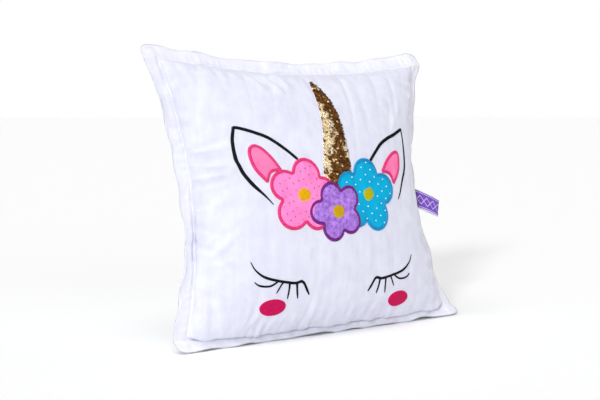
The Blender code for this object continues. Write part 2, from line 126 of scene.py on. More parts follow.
# Creases where the stuffed part hangs over the border: seam (0 left, 1 right, 2 bottom, 3 top), the
# stretch of it from and to, and depth
CREASES = [(0, -0.086, -0.012, 0.0042), (2, -0.125, 0.105, 0.0014), (3, -0.150, -0.060, 0.0012)]
CREASE_WIDTH = 0.0032
CREASE_OFFSET = 0.0010
CREASE_FADE = 0.02
PINCH_WIDTH = 0.0026
# How far the seam and the rim wander from their smooth lines, in the cloth and off it
SEAM_WANDER = 0.0012
SEAM_REACH = 0.0085
# The seam under the belly lies lower, and the belly hangs over it: how far, which way, and how far up
BELLY_SAG = 0.0030
BELLY_HANG = (0.0, -0.0030, -0.0064)
BELLY_REACH = 0.0085
# Where the left border curls back: place along it, half length, and how far its rim comes in
LEFT_CURL = (-0.050, 0.036, 0.0060)
RIM_WANDER = 0.0008
RIM_WAVE = 0.0018
# Lengths of the waves that make up each wandering line
SEAM_LENGTHS = (0.031, 0.050, 0.085)
RIM_LENGTHS = (0.045, 0.080, 0.130)
LIFT_LENGTHS = (0.055, 0.090, 0.150)
SAG_LENGTHS = (0.035, 0.070, 0.120)
SAG_UNEVEN = 0.18
# The wandering fades out over this length before each corner
CORNER_FADE = 0.03
# How round the border's corners are, and how two of them stray: the nearby cloth's radius and movement
CORNER_POWER = 3.6
CORNER_STRAYS = [((0, -1), 0.05, (0.0010, 0.0, -0.0022)), ((-1, 0), 0.035, (0.0055, 0.0, 0.0010))]
# Needle marks in the border: how far apart and how deep
MARK_STEP = 0.0095
MARK_DEPTH = 0.0011
# The least gap between the covers, and how far inside the seam the layer behind each one follows its cells
COVER_GAP = 0.0008
LINING_CELLS = 8
# How much flatter the cover lies under the cheeks, and over what half width and height
CHEEK_CALM = 0.9
CHEEK_CALM_HALF = (0.028, 0.019)

# Single folds, the same on both covers: start, end, half width and height in millimetres
FOLD_STRENGTH = 1.2
FOLDS = [
    (-104, 147, -80, 117, 3.2, 2.2), (-76, 146, -56, 112, 3.0, 2.4), (-56, 145, -40, 122, 2.6, 1.8),
    (-122, 147, -104, 132, 3.0, 0.9), (-30, 143, -26, 128, 3.0, 0.6), (30, 143, 36, 126, 3.0, 0.6),
    (-181, 48, -142, 52, 3.0, 2.2), (-180, 34, -130, 26, 3.4, 2.8), (-179, 18, -142, 20, 3.0, 2.3),
    (-178, 4, -148, 8, 3.0, 1.9), (-178, -20, -150, -12, 4.0, 1.5),
    (-177, -76, -138, -44, 4.0, 1.6), (-176, -88, -146, -76, 3.5, 1.2), (-176, -60, -150, -38, 4.0, 1.0),
    (-136, -166, -116, -138, 3.0, 1.2), (-118, -167, -108, -150, 2.4, 1.3),
    (-104, -167, -98, -152, 2.4, 1.3),
    (-90, -167, -82, -148, 2.6, 1.2), (-66, -167, -70, -140, 3.0, 0.8), (-40, -168, -46, -135, 3.0, 0.7),
    (-8, -167, -12, -140, 3.0, 0.6), (24, -167, 20, -140, 3.0, 0.7), (60, -166, 58, -146, 3.0, 0.8),
    (96, -166, 92, -152, 2.6, 0.9),
    (-56, -70, -60, -104, 5.0, 0.5), (-22, -74, -24, -120, 6.0, 0.5), (12, -68, 12, -128, 6.0, 0.5),
    (40, -62, 38, -110, 5.0, 0.5), (70, -62, 66, -100, 5.0, 0.4),
    (108, 62, 132, 106, 4.0, 1.0), (124, 80, 142, 112, 3.4, 1.0), (150, 40, 172, 52, 3.5, 0.9),
    (112, -26, 152, -72, 6.0, 1.2), (136, -20, 168, -44, 5.0, 1.0), (150, -92, 176, -104, 5.0, 1.4),
    (158, -120, 184, -122, 4.5, 1.2), (150, -136, 186, -146, 4.0, 1.0), (140, 8, 168, 4, 3.5, 0.8),
    (162, 84, 186, 92, 4.0, 1.2), (166, 112, 190, 124, 4.0, 1.3),
]

# Sewn-on pieces: how thick, how wide the satin edges are, and how far apart their stitches and fill rows lie
PATCH_THICK = 0.0009
SATIN_WIDTH = 0.0045
SATIN_THICK = 0.0011
STITCH_PITCH = 0.00050
FILL_PITCH = 0.00060
# How far the undersides reach into the cover, so that no gap shows
PATCH_SINK = 0.0006
SATIN_SINK = 0.0007
FILL_SINK = 0.0005
# Fill stitches: their length and how far each row is shifted from the one before, as a share of it
FILL_STITCH = 0.0042
FILL_SHIFT = 0.37
# Heights above the piece they lie on: a flower's padding, its dots, a stitched heart and a cheek
FLOWER_PUFF = 0.0010
DOT_LIFT = 0.00115
HEART_THICK = 0.0019
CHEEK_THICK = 0.0013
INNER_EAR_PUFF = 0.0006
EYE_THICK = 0.0010
# How the inner ear's cloth and satin edge are drawn in from the three sides
INNER_CLOTH_SHARE = 0.93
INNER_SATIN_SHARE = 0.95
# Share of a satin line's length at which its three widths hold, and the lean of its stitches
WIDTH_PLACES = (0.0, 0.35, 0.7, 1.0)
STITCH_SLANT = 0.22

# Flowers in millimetres: middle, petals (direction in degrees, reach) and the notches between them, layer
FLOWERS = {
    "pink": {
        "middle": (-52.5, -13.0), "layer": 1,
        "petals": [(7.5, 46.0), (80.0, 45.3), (155.0, 47.0), (231.0, 47.4), (302.0, 48.0)],
        "notches": [(40.0, 34.5), (116.6, 31.0), (190.8, 32.0), (271.0, 34.0), (335.0, 33.0)],
    },
    "blue": {
        "middle": (48.2, -13.2), "layer": 2,
        "petals": [(14.0, 49.6), (90.0, 45.6), (162.0, 52.5), (228.0, 49.0), (299.0, 49.4)],
        "notches": [(51.0, 33.3), (129.0, 34.3), (195.0, 34.0), (261.0, 35.1), (337.0, 33.5)],
    },
    "purple": {
        "middle": (-3.6, -34.2), "layer": 3,
        "petals": [(42.0, 40.2), (113.8, 38.8), (180.7, 43.6), (250.0, 37.6), (327.0, 38.2)],
        "notches": [(77.8, 27.5), (149.7, 30.4), (211.7, 29.4), (288.7, 25.6), (366.0, 27.6)],
    },
}
FLOWER_SLOTS = {
    "pink": ("pink_plush", "pink_thread"),
    "blue": ("blue_plush", "blue_thread"),
    "purple": ("purple_velvet", "purple_thread"),
}
PETAL_SHARE = 0.563
PETAL_SWING = math.radians(36.0)
FLOWER_HEART = 0.0102
HEART_TURN = math.radians(18)
QUILT_HEIGHT = 0.00018

# Ears: each side's stitched lines with their start, middle and end widths, and the inner ear's three sides
EAR_LINES = {
    "left": [
        ([(-0.0560, 0.0300), (-0.0700, 0.0415), (-0.0900, 0.0555), (-0.1080, 0.0630), (-0.1260, 0.0685),
          (-0.1345, 0.0700)], (0.0036, 0.0042, 0.0040)),
        ([(-0.1335, 0.0705), (-0.1368, 0.0530), (-0.1346, 0.0320), (-0.1285, 0.0160), (-0.1180, 0.0015),
          (-0.1030, -0.0135), (-0.0940, -0.0235)], (0.0040, 0.0046, 0.0010)),
    ],
    "right": [
        ([(0.0560, 0.0260), (0.0722, 0.0414), (0.0836, 0.0512), (0.0988, 0.0593), (0.1140, 0.0650),
          (0.1340, 0.0738)], (0.0040, 0.0044, 0.0040)),
        ([(0.1335, 0.0740), (0.1336, 0.0600), (0.1330, 0.0450), (0.1311, 0.0289), (0.1270, 0.0170),
          (0.1197, 0.0042), (0.1121, -0.0110), (0.1064, -0.0194)], (0.0014, 0.0030, 0.0010)),
    ],
}
INNER_EARS = {
    "left": [
        [(-0.1140, 0.0478), (-0.1180, 0.0442), (-0.1188, 0.0350), (-0.1130, 0.0190), (-0.0998, 0.0035)],
        [(-0.0998, 0.0035), (-0.0955, 0.0135), (-0.0890, 0.0170), (-0.0805, 0.0175)],
        [(-0.0805, 0.0175), (-0.0900, 0.0310), (-0.1015, 0.0430), (-0.1090, 0.0474), (-0.1140, 0.0478)],
    ],
    "right": [
        [(0.1148, 0.0432), (0.1174, 0.0396), (0.1172, 0.0320), (0.1130, 0.0170), (0.1005, 0.0012)],
        [(0.1005, 0.0012), (0.0955, 0.0110), (0.0885, 0.0150), (0.0790, 0.0158)],
        [(0.0790, 0.0158), (0.0895, 0.0290), (0.1020, 0.0388), (0.1100, 0.0425), (0.1148, 0.0432)],
    ],
}

# Closed eye on the left half of the face: each line with its widths at both ends and in the middle
EYE_LINES = [
    ([(-0.1270, -0.0885), (-0.1215, -0.0985), (-0.1105, -0.1070), (-0.0950, -0.1120), (-0.0780, -0.1153),
      (-0.0680, -0.1165), (-0.0585, -0.1145)], (0.0008, 0.0024, 0.0026)),
    ([(-0.0600, -0.1146), (-0.0560, -0.1175), (-0.0515, -0.1245), (-0.0470, -0.1315)],
     (0.0026, 0.0024, 0.0012)),
    ([(-0.0660, -0.1168), (-0.0650, -0.1250), (-0.0630, -0.1350)], (0.0024, 0.0020, 0.0009)),
    ([(-0.0765, -0.1160), (-0.0768, -0.1250), (-0.0780, -0.1345)], (0.0024, 0.0018, 0.0009)),
    ([(-0.0850, -0.1140), (-0.0895, -0.1200), (-0.0940, -0.1272)], (0.0020, 0.0014, 0.0007)),
    ([(-0.0920, -0.1125), (-0.0975, -0.1162), (-0.1035, -0.1182), (-0.1110, -0.1180), (-0.1180, -0.1160),
      (-0.1230, -0.1122)], (0.0018, 0.0018, 0.0010)),
]
CHEEKS = {"left": (-0.0960, -0.1430), "right": (0.1075, -0.1440)}
CHEEK_HALF = (0.0180, 0.0095)
EYE_WEIGHT = 1.35
EYE_DROP = {"left": 0.0, "right": 0.0012}

# Horn: left and right edge points from the base up
HORN_LEFT = [
    (-0.0206, -0.0100), (-0.0204, 0.0130), (-0.0196, 0.0260), (-0.0172, 0.0380), (-0.0150, 0.0500),
    (-0.0124, 0.0630), (-0.0104, 0.0780), (-0.0090, 0.0900), (-0.0090, 0.1000), (-0.0084, 0.1100),
    (-0.0078, 0.1210), (-0.0058, 0.1310),
]
HORN_RIGHT = [
    (0.0232, -0.0100), (0.0230, 0.0130), (0.0228, 0.0260), (0.0226, 0.0380), (0.0214, 0.0500),
    (0.0204, 0.0630), (0.0196, 0.0780), (0.0176, 0.0900), (0.0146, 0.1000), (0.0106, 0.1100),
    (0.0048, 0.1210), (-0.0022, 0.1310),
]
HORN_EDGE_WIDTH = 0.0011
HORN_EDGE_THICK = 0.0008
SEQUIN_RADIUS = 0.00185
SEQUIN_STEP = (0.0025, 0.0020)
SEQUIN_THICK = 0.00012
SEQUIN_DISH = -0.00018
SEQUIN_TILT = 0.22
SEQUIN_HANG = (0.0, 0.0, 0.22)
SEQUIN_MARGIN = 0.0011
SEQUIN_JITTER = 0.00025
STRAY_SEQUINS = 0.06
# Where the horn's light sequins give way to dark ones, as (up, across), and spots of either: middle, radius
HORN_DIVIDE = [
    (-0.010, -0.014), (0.015, -0.014), (0.028, -0.009), (0.040, -0.004), (0.052, 0.001), (0.060, 0.005),
    (0.075, 0.005), (0.090, 0.001), (0.098, -0.004), (0.105, -0.009), (0.112, -0.012), (0.135, -0.012),
]
HORN_LIGHT_SPOTS = [((0.018, 0.046), 0.0050), ((0.019, 0.036), 0.0035), ((-0.014, 0.021), 0.0055)]
HORN_DARK_SPOTS = [((-0.010, 0.115), 0.0040), ((0.0, 0.061), 0.0026), ((-0.015, 0.054), 0.0022)]

# A run of thread as sections: share of its length, height and width. Then each seam's stitches: their step,
# width and height, and where they lie
RUN_SECTIONS = [(0.0, -0.5, 0.4), (0.14, 0.55, 0.85), (0.5, 1.0, 1.0), (0.86, 0.55, 0.85), (1.0, -0.5, 0.4)]
RUN_SIDES = 6
TOPSTITCH_STEP = 0.0038
TOPSTITCH_SIZE = (0.0007, 0.0003)
CLOSING_SIZE = (0.0008, 0.0004)
TOPSTITCH_SHARES = (0.08, 0.92)
CLOSING_START = 2 * CELLS_BORDER + 10
CLOSING_CELLS = 46

# Label, sewn into the right-hand edge
LABEL_LENGTH = 0.036
LABEL_WIDTH = 0.023
LABEL_HEIGHT = -0.11
LABEL_EDGE_REACH = 0.05
LABEL_DROOP = math.radians(24.0)
LABEL_TURN = math.radians(-18.0)
LABEL_CLEARANCE = 0.0012
LABEL_FOLD = 0.0010
LABEL_HALF_THICK = 0.0003
# The label's cells along one layer, round its fold and across
LABEL_STEPS = 26
LABEL_FOLD_STEPS = 10
LABEL_CELLS = 12
# Weave colours, from the ground through the pale lines to the white selvedge
LABEL_TONES = [
    (0.0, (0.11, 0.030, 0.34)), (0.12, (0.16, 0.055, 0.43)),
    (0.60, (0.56, 0.46, 0.80)), (1.0, (0.80, 0.78, 0.90)),
]


# ---------------------------------------------------------------- camera, light and floor


def make_camera():
    """The photograph's camera."""
    data = bpy.data.cameras.new("camera")
    data.lens = CAMERA_LENS
    data.sensor_width = 36.0
    camera = bpy.data.objects.new("camera", data)
    bpy.context.scene.collection.objects.link(camera)
    camera.location = CAMERA_PLACE
    camera.rotation_euler = Vector(CAMERA_WAY).to_track_quat("-Z", "Y").to_euler()
    bpy.context.scene.camera = camera


def soft_sun(name, way, strength, spread, color):
    data = bpy.data.lights.new(name, "SUN")
    data.energy = strength
    data.angle = spread
    data.color = color
    light = bpy.data.objects.new(name, data)
    bpy.context.scene.collection.objects.link(light)
    light.rotation_euler = Vector(way).to_track_quat("-Z", "Y").to_euler()


def make_world():
    """A white studio: a bright band round the horizon, and a soft sky that is dimmer behind the camera."""
    world = bpy.data.worlds.new("studio")
    bpy.context.scene.world = world
    world.use_nodes = True
    nodes, links = world.node_tree.nodes, world.node_tree.links
    background = nodes["Background"]
    place = nodes.new("ShaderNodeTexCoord")
    height = nodes.new("ShaderNodeSeparateXYZ")
    links.new(place.outputs["Generated"], height.inputs[0])
    ahead = nodes.new("ShaderNodeVectorMath")
    ahead.operation = "DOT_PRODUCT"
    ahead.inputs[1].default_value = SKY_AXIS
    links.new(place.outputs["Generated"], ahead.inputs[0])
    brightest = nodes.new("ShaderNodeMath")
    brightest.operation = "MAXIMUM"
    levels = (
        (height.outputs["Z"], HORIZON_BAND, HORIZON_BRIGHT, 0.0),
        (ahead.outputs["Value"], SKY_TURN, SKY_BEHIND, SKY_AHEAD),
    )
    for k, (value, (first, last), start, end) in enumerate(levels):
        span = nodes.new("ShaderNodeMapRange")
        span.interpolation_type = "SMOOTHSTEP"
        for socket, number in (("From Min", first), ("From Max", last), ("To Min", start), ("To Max", end)):
            span.inputs[socket].default_value = number
        links.new(value, span.inputs["Value"])
        links.new(span.outputs["Result"], brightest.inputs[k])
    links.new(brightest.outputs[0], background.inputs["Strength"])
    background.inputs["Color"].default_value = (1.0, 1.0, 1.0, 1.0)


def make_studio():
    """Surroundings, floor and lights."""
    make_world()
    reach = FLOOR_REACH
    corners = [(-reach, -reach, 0), (reach, -reach, 0), (reach, reach, 0), (-reach, reach, 0)]
    mesh = bpy.data.meshes.new("floor")
    mesh.from_pydata(corners, [], [(0, 1, 2, 3)])
    floor = bpy.data.objects.new("floor", mesh)
    bpy.context.scene.collection.objects.link(floor)
    mat = bpy.data.materials.new("floor_white")
    mat.use_nodes = True
    shader = mat.node_tree.nodes["Principled BSDF"]
    shader.inputs["Base Color"].default_value = FLOOR_COLOR
    shader.inputs["Roughness"].default_value = FLOOR_ROUGHNESS
    mesh.materials.append(mat)
    for sun in SUNS:
        soft_sun(*sun)
    bpy.context.scene.view_settings.view_transform = "Standard"


# ---------------------------------------------------------------- the stuffed shape


def seam_half_width(up, side):
    pull = np.where(side > 0, PULL_RIGHT, PULL_LEFT)
    return INNER_WIDTH - pull * (1.0 - up * up)


def seam_top(across):
    return INNER_HEIGHT - PULL_TOP * (1.0 - across * across)


def bulge(x, z, depth, low_power):
    """How far a cover stands off the seam plane at points of that plane."""
    up = np.clip(z / INNER_HEIGHT, -1.0, 1.0)
    across = np.minimum(1.0, np.abs(x) / seam_half_width(up, x))
    rise = np.minimum(1.0, z / seam_top(np.minimum(1.0, np.abs(x) / INNER_WIDTH)))
    low = np.minimum(1.0, np.abs(z) / INNER_HEIGHT) ** low_power
    fall = np.where(z > 0.0, 1.0 - rise ** 2, 1.0 - low)
    return depth * (np.maximum((1.0 - across ** 2) * fall, 0.0)) ** BULGE_POWER


def front_bulge(x, z):
    return bulge(x, z, FRONT_BULGE, FRONT_LOW_POWER)


def back_bulge(x, z):
    return bulge(x, z, BACK_BULGE, BACK_LOW_POWER)


def stand_up(points):
    """Points of the seam frame in the world: leaned back, the back sagging, and clear of the floor."""
    x, y, z = points[..., 0], points[..., 1], points[..., 2]
    height = z + INNER_HEIGHT
    depth = y * math.cos(LEAN) + height * math.sin(LEAN)
    level = height * math.cos(LEAN) - y * math.sin(LEAN) + SEAM_RISE
    sag = SAG_SLOPE * y * (1.0 - level / SAG_HEIGHT) ** 2
    level = np.where((y > 0.0) & (level < SAG_HEIGHT), level - sag, level)
    return np.stack([x, depth - DEPTH_TO_ORIGIN, np.maximum(level, 0.0)], axis=-1)


def seam_place(across, up):
    """Seam-plane place of the fractions across and up."""
    z = up * np.where(up > 0.0, seam_top(across), INNER_HEIGHT)
    return across * seam_half_width(up, across), z


def fractions_of(x, z):
    """The inverse of seam_place, by repeated substitution."""
    across, up = x / INNER_WIDTH, z / INNER_HEIGHT
    for _ in range(12):
        up = np.clip(z / np.where(z > 0.0, seam_top(across), INNER_HEIGHT), -1.0, 1.0)
        across = np.clip(x / seam_half_width(up, x), -1.0, 1.0)
    return across, up


def lookup(table, p, q):
    """Bilinear value of a grid table at real indices p and q."""
    p = np.clip(p, 0.0, table.shape[0] - 1.0001)
    q = np.clip(q, 0.0, table.shape[1] - 1.0001)
    i, j = p.astype(int), q.astype(int)
    fp, fq = p - i, q - j
    if table.ndim == 3:
        fp, fq = fp[..., None], fq[..., None]
    low = table[i, j] * (1 - fp) + table[i + 1, j] * fp
    high = table[i, j + 1] * (1 - fp) + table[i + 1, j + 1] * fp
    return low * (1 - fq) + high * fq


class Chart:
    """Where the flat cloth goes on one bulging side: cloth fractions run evenly along the surface."""

    CELLS = 160

    def __init__(self, shape, sign):
        self.shape, self.sign = shape, sign
        ramp = np.sin((np.arange(self.CELLS + 1) / self.CELLS - 0.5) * math.pi)
        across, up = np.meshgrid(ramp, ramp, indexing="ij")
        x, z = seam_place(across, up)
        points = np.stack([x, -sign * shape(x, z), z], axis=-1)
        self.along = self.share(np.linalg.norm(np.diff(points, axis=0), axis=-1), 0)
        self.above = self.share(np.linalg.norm(np.diff(points, axis=1), axis=-1), 1)

    @staticmethod
    def share(steps, axis):
        """Running length along one axis, scaled to -1 at the start, 0 in the middle and 1 at the end."""
        total = np.cumsum(steps, axis=axis)
        pad = [(1, 0), (0, 0)] if axis == 0 else [(0, 0), (1, 0)]
        total = np.pad(total, pad)
        last = total[-1:] if axis == 0 else total[:, -1:]
        return total / last * 2.0 - 1.0

    def index(self, fraction):
        return (np.arcsin(np.clip(fraction, -1.0, 1.0)) / math.pi + 0.5) * self.CELLS

    def cloth_of(self, x, z):
        """Cloth fractions at seam-plane places."""
        across, up = fractions_of(x, z)
        p, q = self.index(across), self.index(up)
        return lookup(self.along, p, q), lookup(self.above, p, q)

    def place_of(self, s, t):
        """Seam-frame points at cloth fractions s and t."""
        p, q = self.index(s), self.index(t)
        for _ in range(6):
            p = self.solve(self.along, s, q, 0)
            q = self.solve(self.above, t, p, 1)
        across = np.sin((p / self.CELLS - 0.5) * math.pi)
        up = np.sin((q / self.CELLS - 0.5) * math.pi)
        x, z = seam_place(across, up)
        return np.stack([x, -self.sign * self.shape(x, z), z], axis=-1)

    def solve(self, table, target, other, axis):
        """Index along an axis at which the table reaches the target, by halving."""
        low = np.zeros_like(target)
        high = np.full_like(target, float(self.CELLS))
        for _ in range(22):
            middle = (low + high) / 2
            value = lookup(table, middle, other) if axis == 0 else lookup(table, other, middle)
            low = np.where(value < target, middle, low)
            high = np.where(value < target, high, middle)
        return (low + high) / 2


def outward(column, row):
    """Outward step of the flat border in the seam frame."""
    step = np.zeros(3)
    if column:
        bend = RIGHT_BEND if column > 0 else LEFT_BEND
        step += np.array([column * math.cos(bend), math.sin(bend), 0.0]) * BORDER
    if row > 0:
        step += np.array([0.0, math.sin(TOP_BEND), math.cos(TOP_BEND)]) * BORDER
    if row < 0:
        step += np.array([0.0, -math.sin(BOTTOM_FOLD), -math.cos(BOTTOM_FOLD)]) * BORDER
    return step


def smooth_grid(chart):
    """Seam-frame points of one side's whole grid, border included, before any wrinkle."""
    i = np.arange(CELLS_ACROSS + 2 * CELLS_BORDER + 1) - CELLS_BORDER
    j = np.arange(CELLS_UP + 2 * CELLS_BORDER + 1) - CELLS_BORDER
    s = np.clip(i / CELLS_ACROSS, 0, 1) * 2 - 1
    t = np.clip(j / CELLS_UP, 0, 1) * 2 - 1
    s, t = np.meshgrid(s, t, indexing="ij")
    points = chart.place_of(s, t)
    out_x = (np.maximum(i - CELLS_ACROSS, 0) + np.minimum(i, 0)) / CELLS_BORDER
    out_z = (np.maximum(j - CELLS_UP, 0) + np.minimum(j, 0)) / CELLS_BORDER
    out_x, out_z = np.meshgrid(out_x, out_z, indexing="ij")
    square = np.maximum(np.abs(out_x), np.abs(out_z))
    power = (np.abs(out_x) ** CORNER_POWER + np.abs(out_z) ** CORNER_POWER) ** (1 / CORNER_POWER)
    rounding = square / np.maximum(power, 1e-9)
    for sign in (-1, 1):
        points = points + (np.maximum(out_x * sign, 0) * rounding)[..., None] * outward(sign, 0)
        points = points + (np.maximum(out_z * sign, 0) * rounding)[..., None] * outward(0, sign)
    return points


def flat_grid():
    """The same grid on the flat cut cloth."""
    def line(cells, half):
        k = np.arange(cells + 2 * CELLS_BORDER + 1) - CELLS_BORDER
        inner = (np.clip(k / cells, 0, 1) * 2 - 1) * half
        extra = (np.maximum(k - cells, 0) + np.minimum(k, 0)) * BORDER / CELLS_BORDER
        return inner + extra
    x, z = np.meshgrid(line(CELLS_ACROSS, INNER_WIDTH), line(CELLS_UP, INNER_HEIGHT), indexing="ij")
    return np.stack([x, np.zeros_like(x), z], axis=-1)


def blurred(field, cells):
    """A field blurred over the grid by repeated small averages, with its edges held flat."""
    out = field.copy()
    for _ in range(max(1, int(cells * cells / 2))):
        padded = np.pad(out, [(1, 1), (1, 1), (0, 0)], mode="edge")
        out = (padded[:-2, 1:-1] + padded[2:, 1:-1] + padded[1:-1, :-2] + padded[1:-1, 2:] + 2 * out) / 6
    return out


def mesh_object(name, points, faces, materials=()):
    mesh = bpy.data.meshes.new(name)
    mesh.from_pydata([tuple(p) for p in points], [], [tuple(f) for f in faces])
    for mat in materials:
        mesh.materials.append(mat)
    mesh.shade_smooth()
    mesh.update()
    obj = bpy.data.objects.new(name, mesh)
    bpy.context.scene.collection.objects.link(obj)
    return obj


def cell_faces(ids, flip=False):
    """One four-sided face for each cell of a grid of point numbers."""
    quads = np.stack([ids[:-1, :-1], ids[1:, :-1], ids[1:, 1:], ids[:-1, 1:]], axis=-1).reshape(-1, 4)
    return quads[:, ::-1] if flip else quads


def grid_faces(columns, rows, start=0, flip=False):
    return cell_faces(np.arange(columns * rows).reshape(columns, rows) + start, flip)


def rim_of(columns, rows):
    """A mask of a grid's outermost points."""
    rim = np.zeros((columns, rows), bool)
    rim[[0, -1]] = True
    rim[:, [0, -1]] = True
    return rim


def run_lengths(line):
    """Distance along a line of points, from its start to each of them."""
    return np.concatenate([[0.0], np.cumsum(np.linalg.norm(np.diff(line, axis=0), axis=-1))])


def simulate(front, back):
    """Cloth simulation of both covers, sewn at the seam and the rim, held loosely near their shape."""
    flat = flat_grid() * EXTRA_CLOTH
    columns, rows = front.shape[:2]
    seam = np.zeros((columns, rows), bool)
    low, wide, tall = CELLS_BORDER, columns - 1 - CELLS_BORDER, rows - 1 - CELLS_BORDER
    seam[[low, wide], low:tall + 1] = True
    seam[low:wide + 1, [low, tall]] = True
    inside = np.zeros_like(seam)
    inside[low:wide + 1, low:tall + 1] = True
    shared = rim_of(columns, rows) | seam
    front_id = np.arange(columns * rows).reshape(columns, rows)
    back_id = front_id.copy()
    count = columns * rows
    back_id[~shared] = count + np.arange((~shared).sum())
    start = np.concatenate([front.reshape(-1, 3), back[~shared]])
    rest = np.concatenate([flat.reshape(-1, 3), flat[~shared]])
    faces = np.concatenate([cell_faces(front_id), cell_faces(back_id, flip=True)])
    cloth = mesh_object("cloth_work", start, faces)
    cloth.shape_key_add(name="start")
    cut = cloth.shape_key_add(name="cut")
    cut.data.foreach_set("co", rest.ravel())
    hold = cloth.vertex_groups.new(name="hold")
    held = sorted(front_id[shared].tolist())
    loose = sorted(set(range(len(start))) - set(held))
    hold.add(loose, 0.0, "REPLACE")
    hold.add(held, HOLD_WEIGHT, "REPLACE")
    blow = cloth.vertex_groups.new(name="blow")
    blow.add(list(range(len(start))), 0.0, "REPLACE")
    blow.add(sorted(set(front_id[inside].tolist()) | set(back_id[inside].tolist())), 1.0, "REPLACE")
    modifier = cloth.modifiers.new("cloth", "CLOTH")
    settings = modifier.settings
    for setting, value in CLOTH_SETTINGS.items():
        setattr(settings, setting, value)
    settings.rest_shape_key = cut
    settings.vertex_group_mass = "hold"
    settings.vertex_group_pressure = "blow"
    settings.effector_weights.gravity = 0.0
    modifier.collision_settings.use_collision = False
    modifier.point_cache.frame_start = 1
    modifier.point_cache.frame_end = SIM_FRAMES
    scene = bpy.context.scene
    scene.frame_start, scene.frame_end = 1, SIM_FRAMES
    for step in range(1, SIM_FRAMES + 1):
        scene.frame_set(step)
    shown = cloth.evaluated_get(bpy.context.evaluated_depsgraph_get())
    result = np.zeros(len(start) * 3)
    shown.data.vertices.foreach_get("co", result)
    result = result.reshape(-1, 3)
    scene.frame_set(1)
    bpy.data.objects.remove(cloth, do_unlink=True)
    return result[front_id], result[back_id]


def simulated_wrinkles(start, moved):
    """The movement of the simulated cloth without its slow drift, shared out and capped."""
    move = moved - start
    move -= blurred(move, DRIFT_CELLS)
    move = blurred(move, 1.2) * MOVE_SHARE
    length = np.linalg.norm(move, axis=-1, keepdims=True)
    return move * np.minimum(length, MOVE_CAP) / np.maximum(length, 1e-9)


def refined(points):
    """The grid with twice the cells, by cubic interpolation along each axis."""
    for axis in (0, 1):
        a = np.moveaxis(points, axis, 0)
        ends = np.concatenate([2 * a[:1] - a[1:2], a, 2 * a[-1:] - a[-2:-1]])
        middle = (9 * (ends[1:-2] + ends[2:-1]) - (ends[:-3] + ends[3:])) / 16
        out = np.empty((2 * a.shape[0] - 1, *a.shape[1:]))
        out[0::2] = a
        out[1::2] = middle
        points = np.moveaxis(out, 0, axis)
    return points


def normals_of(points, sign):
    normal = np.cross(np.gradient(points, axis=0), np.gradient(points, axis=1)) * sign
    return normal / np.maximum(np.linalg.norm(normal, axis=-1, keepdims=True), 1e-12)


def seam_distances(flat):
    """For each of the four seams: distance inward from it, and the place along it."""
    u, v = flat[..., 0], flat[..., 2]
    return [
        (INNER_WIDTH + u, v, INNER_HEIGHT), (INNER_WIDTH - u, v, INNER_HEIGHT),
        (INNER_HEIGHT + v, u, INNER_WIDTH), (INNER_HEIGHT - v, u, INNER_WIDTH),
    ]


def puckers(flat, seed):
    """Small folds across each seam, deepest near the stitches, and the ruffle they leave in the border."""
    rng = np.random.default_rng(seed)
    height = np.zeros(flat.shape[:2])
    for inward, along, half in seam_distances(flat):
        place = -half - BORDER
        while place < half + BORDER:
            place += rng.uniform(*PUCKER_STEP)
            width = rng.uniform(*PUCKER_WIDTH)
            reach = rng.uniform(*PUCKER_REACH)
            depth = PUCKER_DEPTH * rng.uniform(*PUCKER_SHARE)
            slant = rng.uniform(-PUCKER_SLANT, PUCKER_SLANT)
            ridge = np.exp(-(((along - place - slant * inward) / width) ** 2))
            run = np.maximum(inward, 0.0) / reach
            inside = run * np.exp(1.0 - run)
            ease = np.clip(-inward / BORDER, 0.0, 1.0)
            outside = BORDER_WAVE / PUCKER_DEPTH * ease * (1.4 - 0.4 * ease)
            height -= depth * ridge * np.where(inward >= 0.0, inside, outside)
    return height


def border_profile(flat, sign):
    """Padding of the border between its stitched inner edge and its rim, and the pinch at the stitches."""
    nearest = np.minimum.reduce([inward for inward, _, _ in seam_distances(flat)])
    out = np.clip(-nearest / BORDER, 0.0, 1.0)
    puff = BORDER_PUFF * 1.75 * out ** 0.42 * (1.0 - out) ** 0.9
    pinch = SEAM_PINCH * np.exp(-((nearest / PINCH_WIDTH) ** 2))
    crease = np.zeros_like(out)
    for seam, start, end, depth in CREASES:
        inward, along, _ = seam_distances(flat)[seam]
        window = smooth_step((along - start) / CREASE_FADE) * smooth_step((end - along) / CREASE_FADE)
        uneven = 0.7 + 0.3 * np.sin(along * 210.0 + 1.0) * np.sin(along * 93.0)
        crease += depth * window * uneven * np.exp(-(((inward + CREASE_OFFSET) / CREASE_WIDTH) ** 2))
    marks = np.zeros_like(out)
    for inward, along, _ in seam_distances(flat):
        own = (inward <= nearest + 1e-9) & (inward < 0.0)
        wobble = 0.9 * np.sin(along * 61.0) + 0.7 * np.sin(along * 143.0 + 2.0)
        dimple = (0.5 + 0.5 * np.sin(along * math.tau / MARK_STEP + wobble)) ** 2
        marks = np.where(own, dimple * (0.6 + 0.4 * np.sin(along * 37.0)), marks)
    marks *= MARK_DEPTH * np.sin(np.clip(out / 0.85, 0.0, 1.0) * math.pi)
    return puff - pinch - marks - sign * crease


def wavy(along, lengths, rng):
    """A smooth irregular wave of about unit height along a line."""
    total = np.zeros_like(along)
    for length in lengths:
        total += np.sin(along * math.tau / (length * rng.uniform(0.85, 1.15)) + rng.uniform(0.0, math.tau))
    return total / math.sqrt(len(lengths))


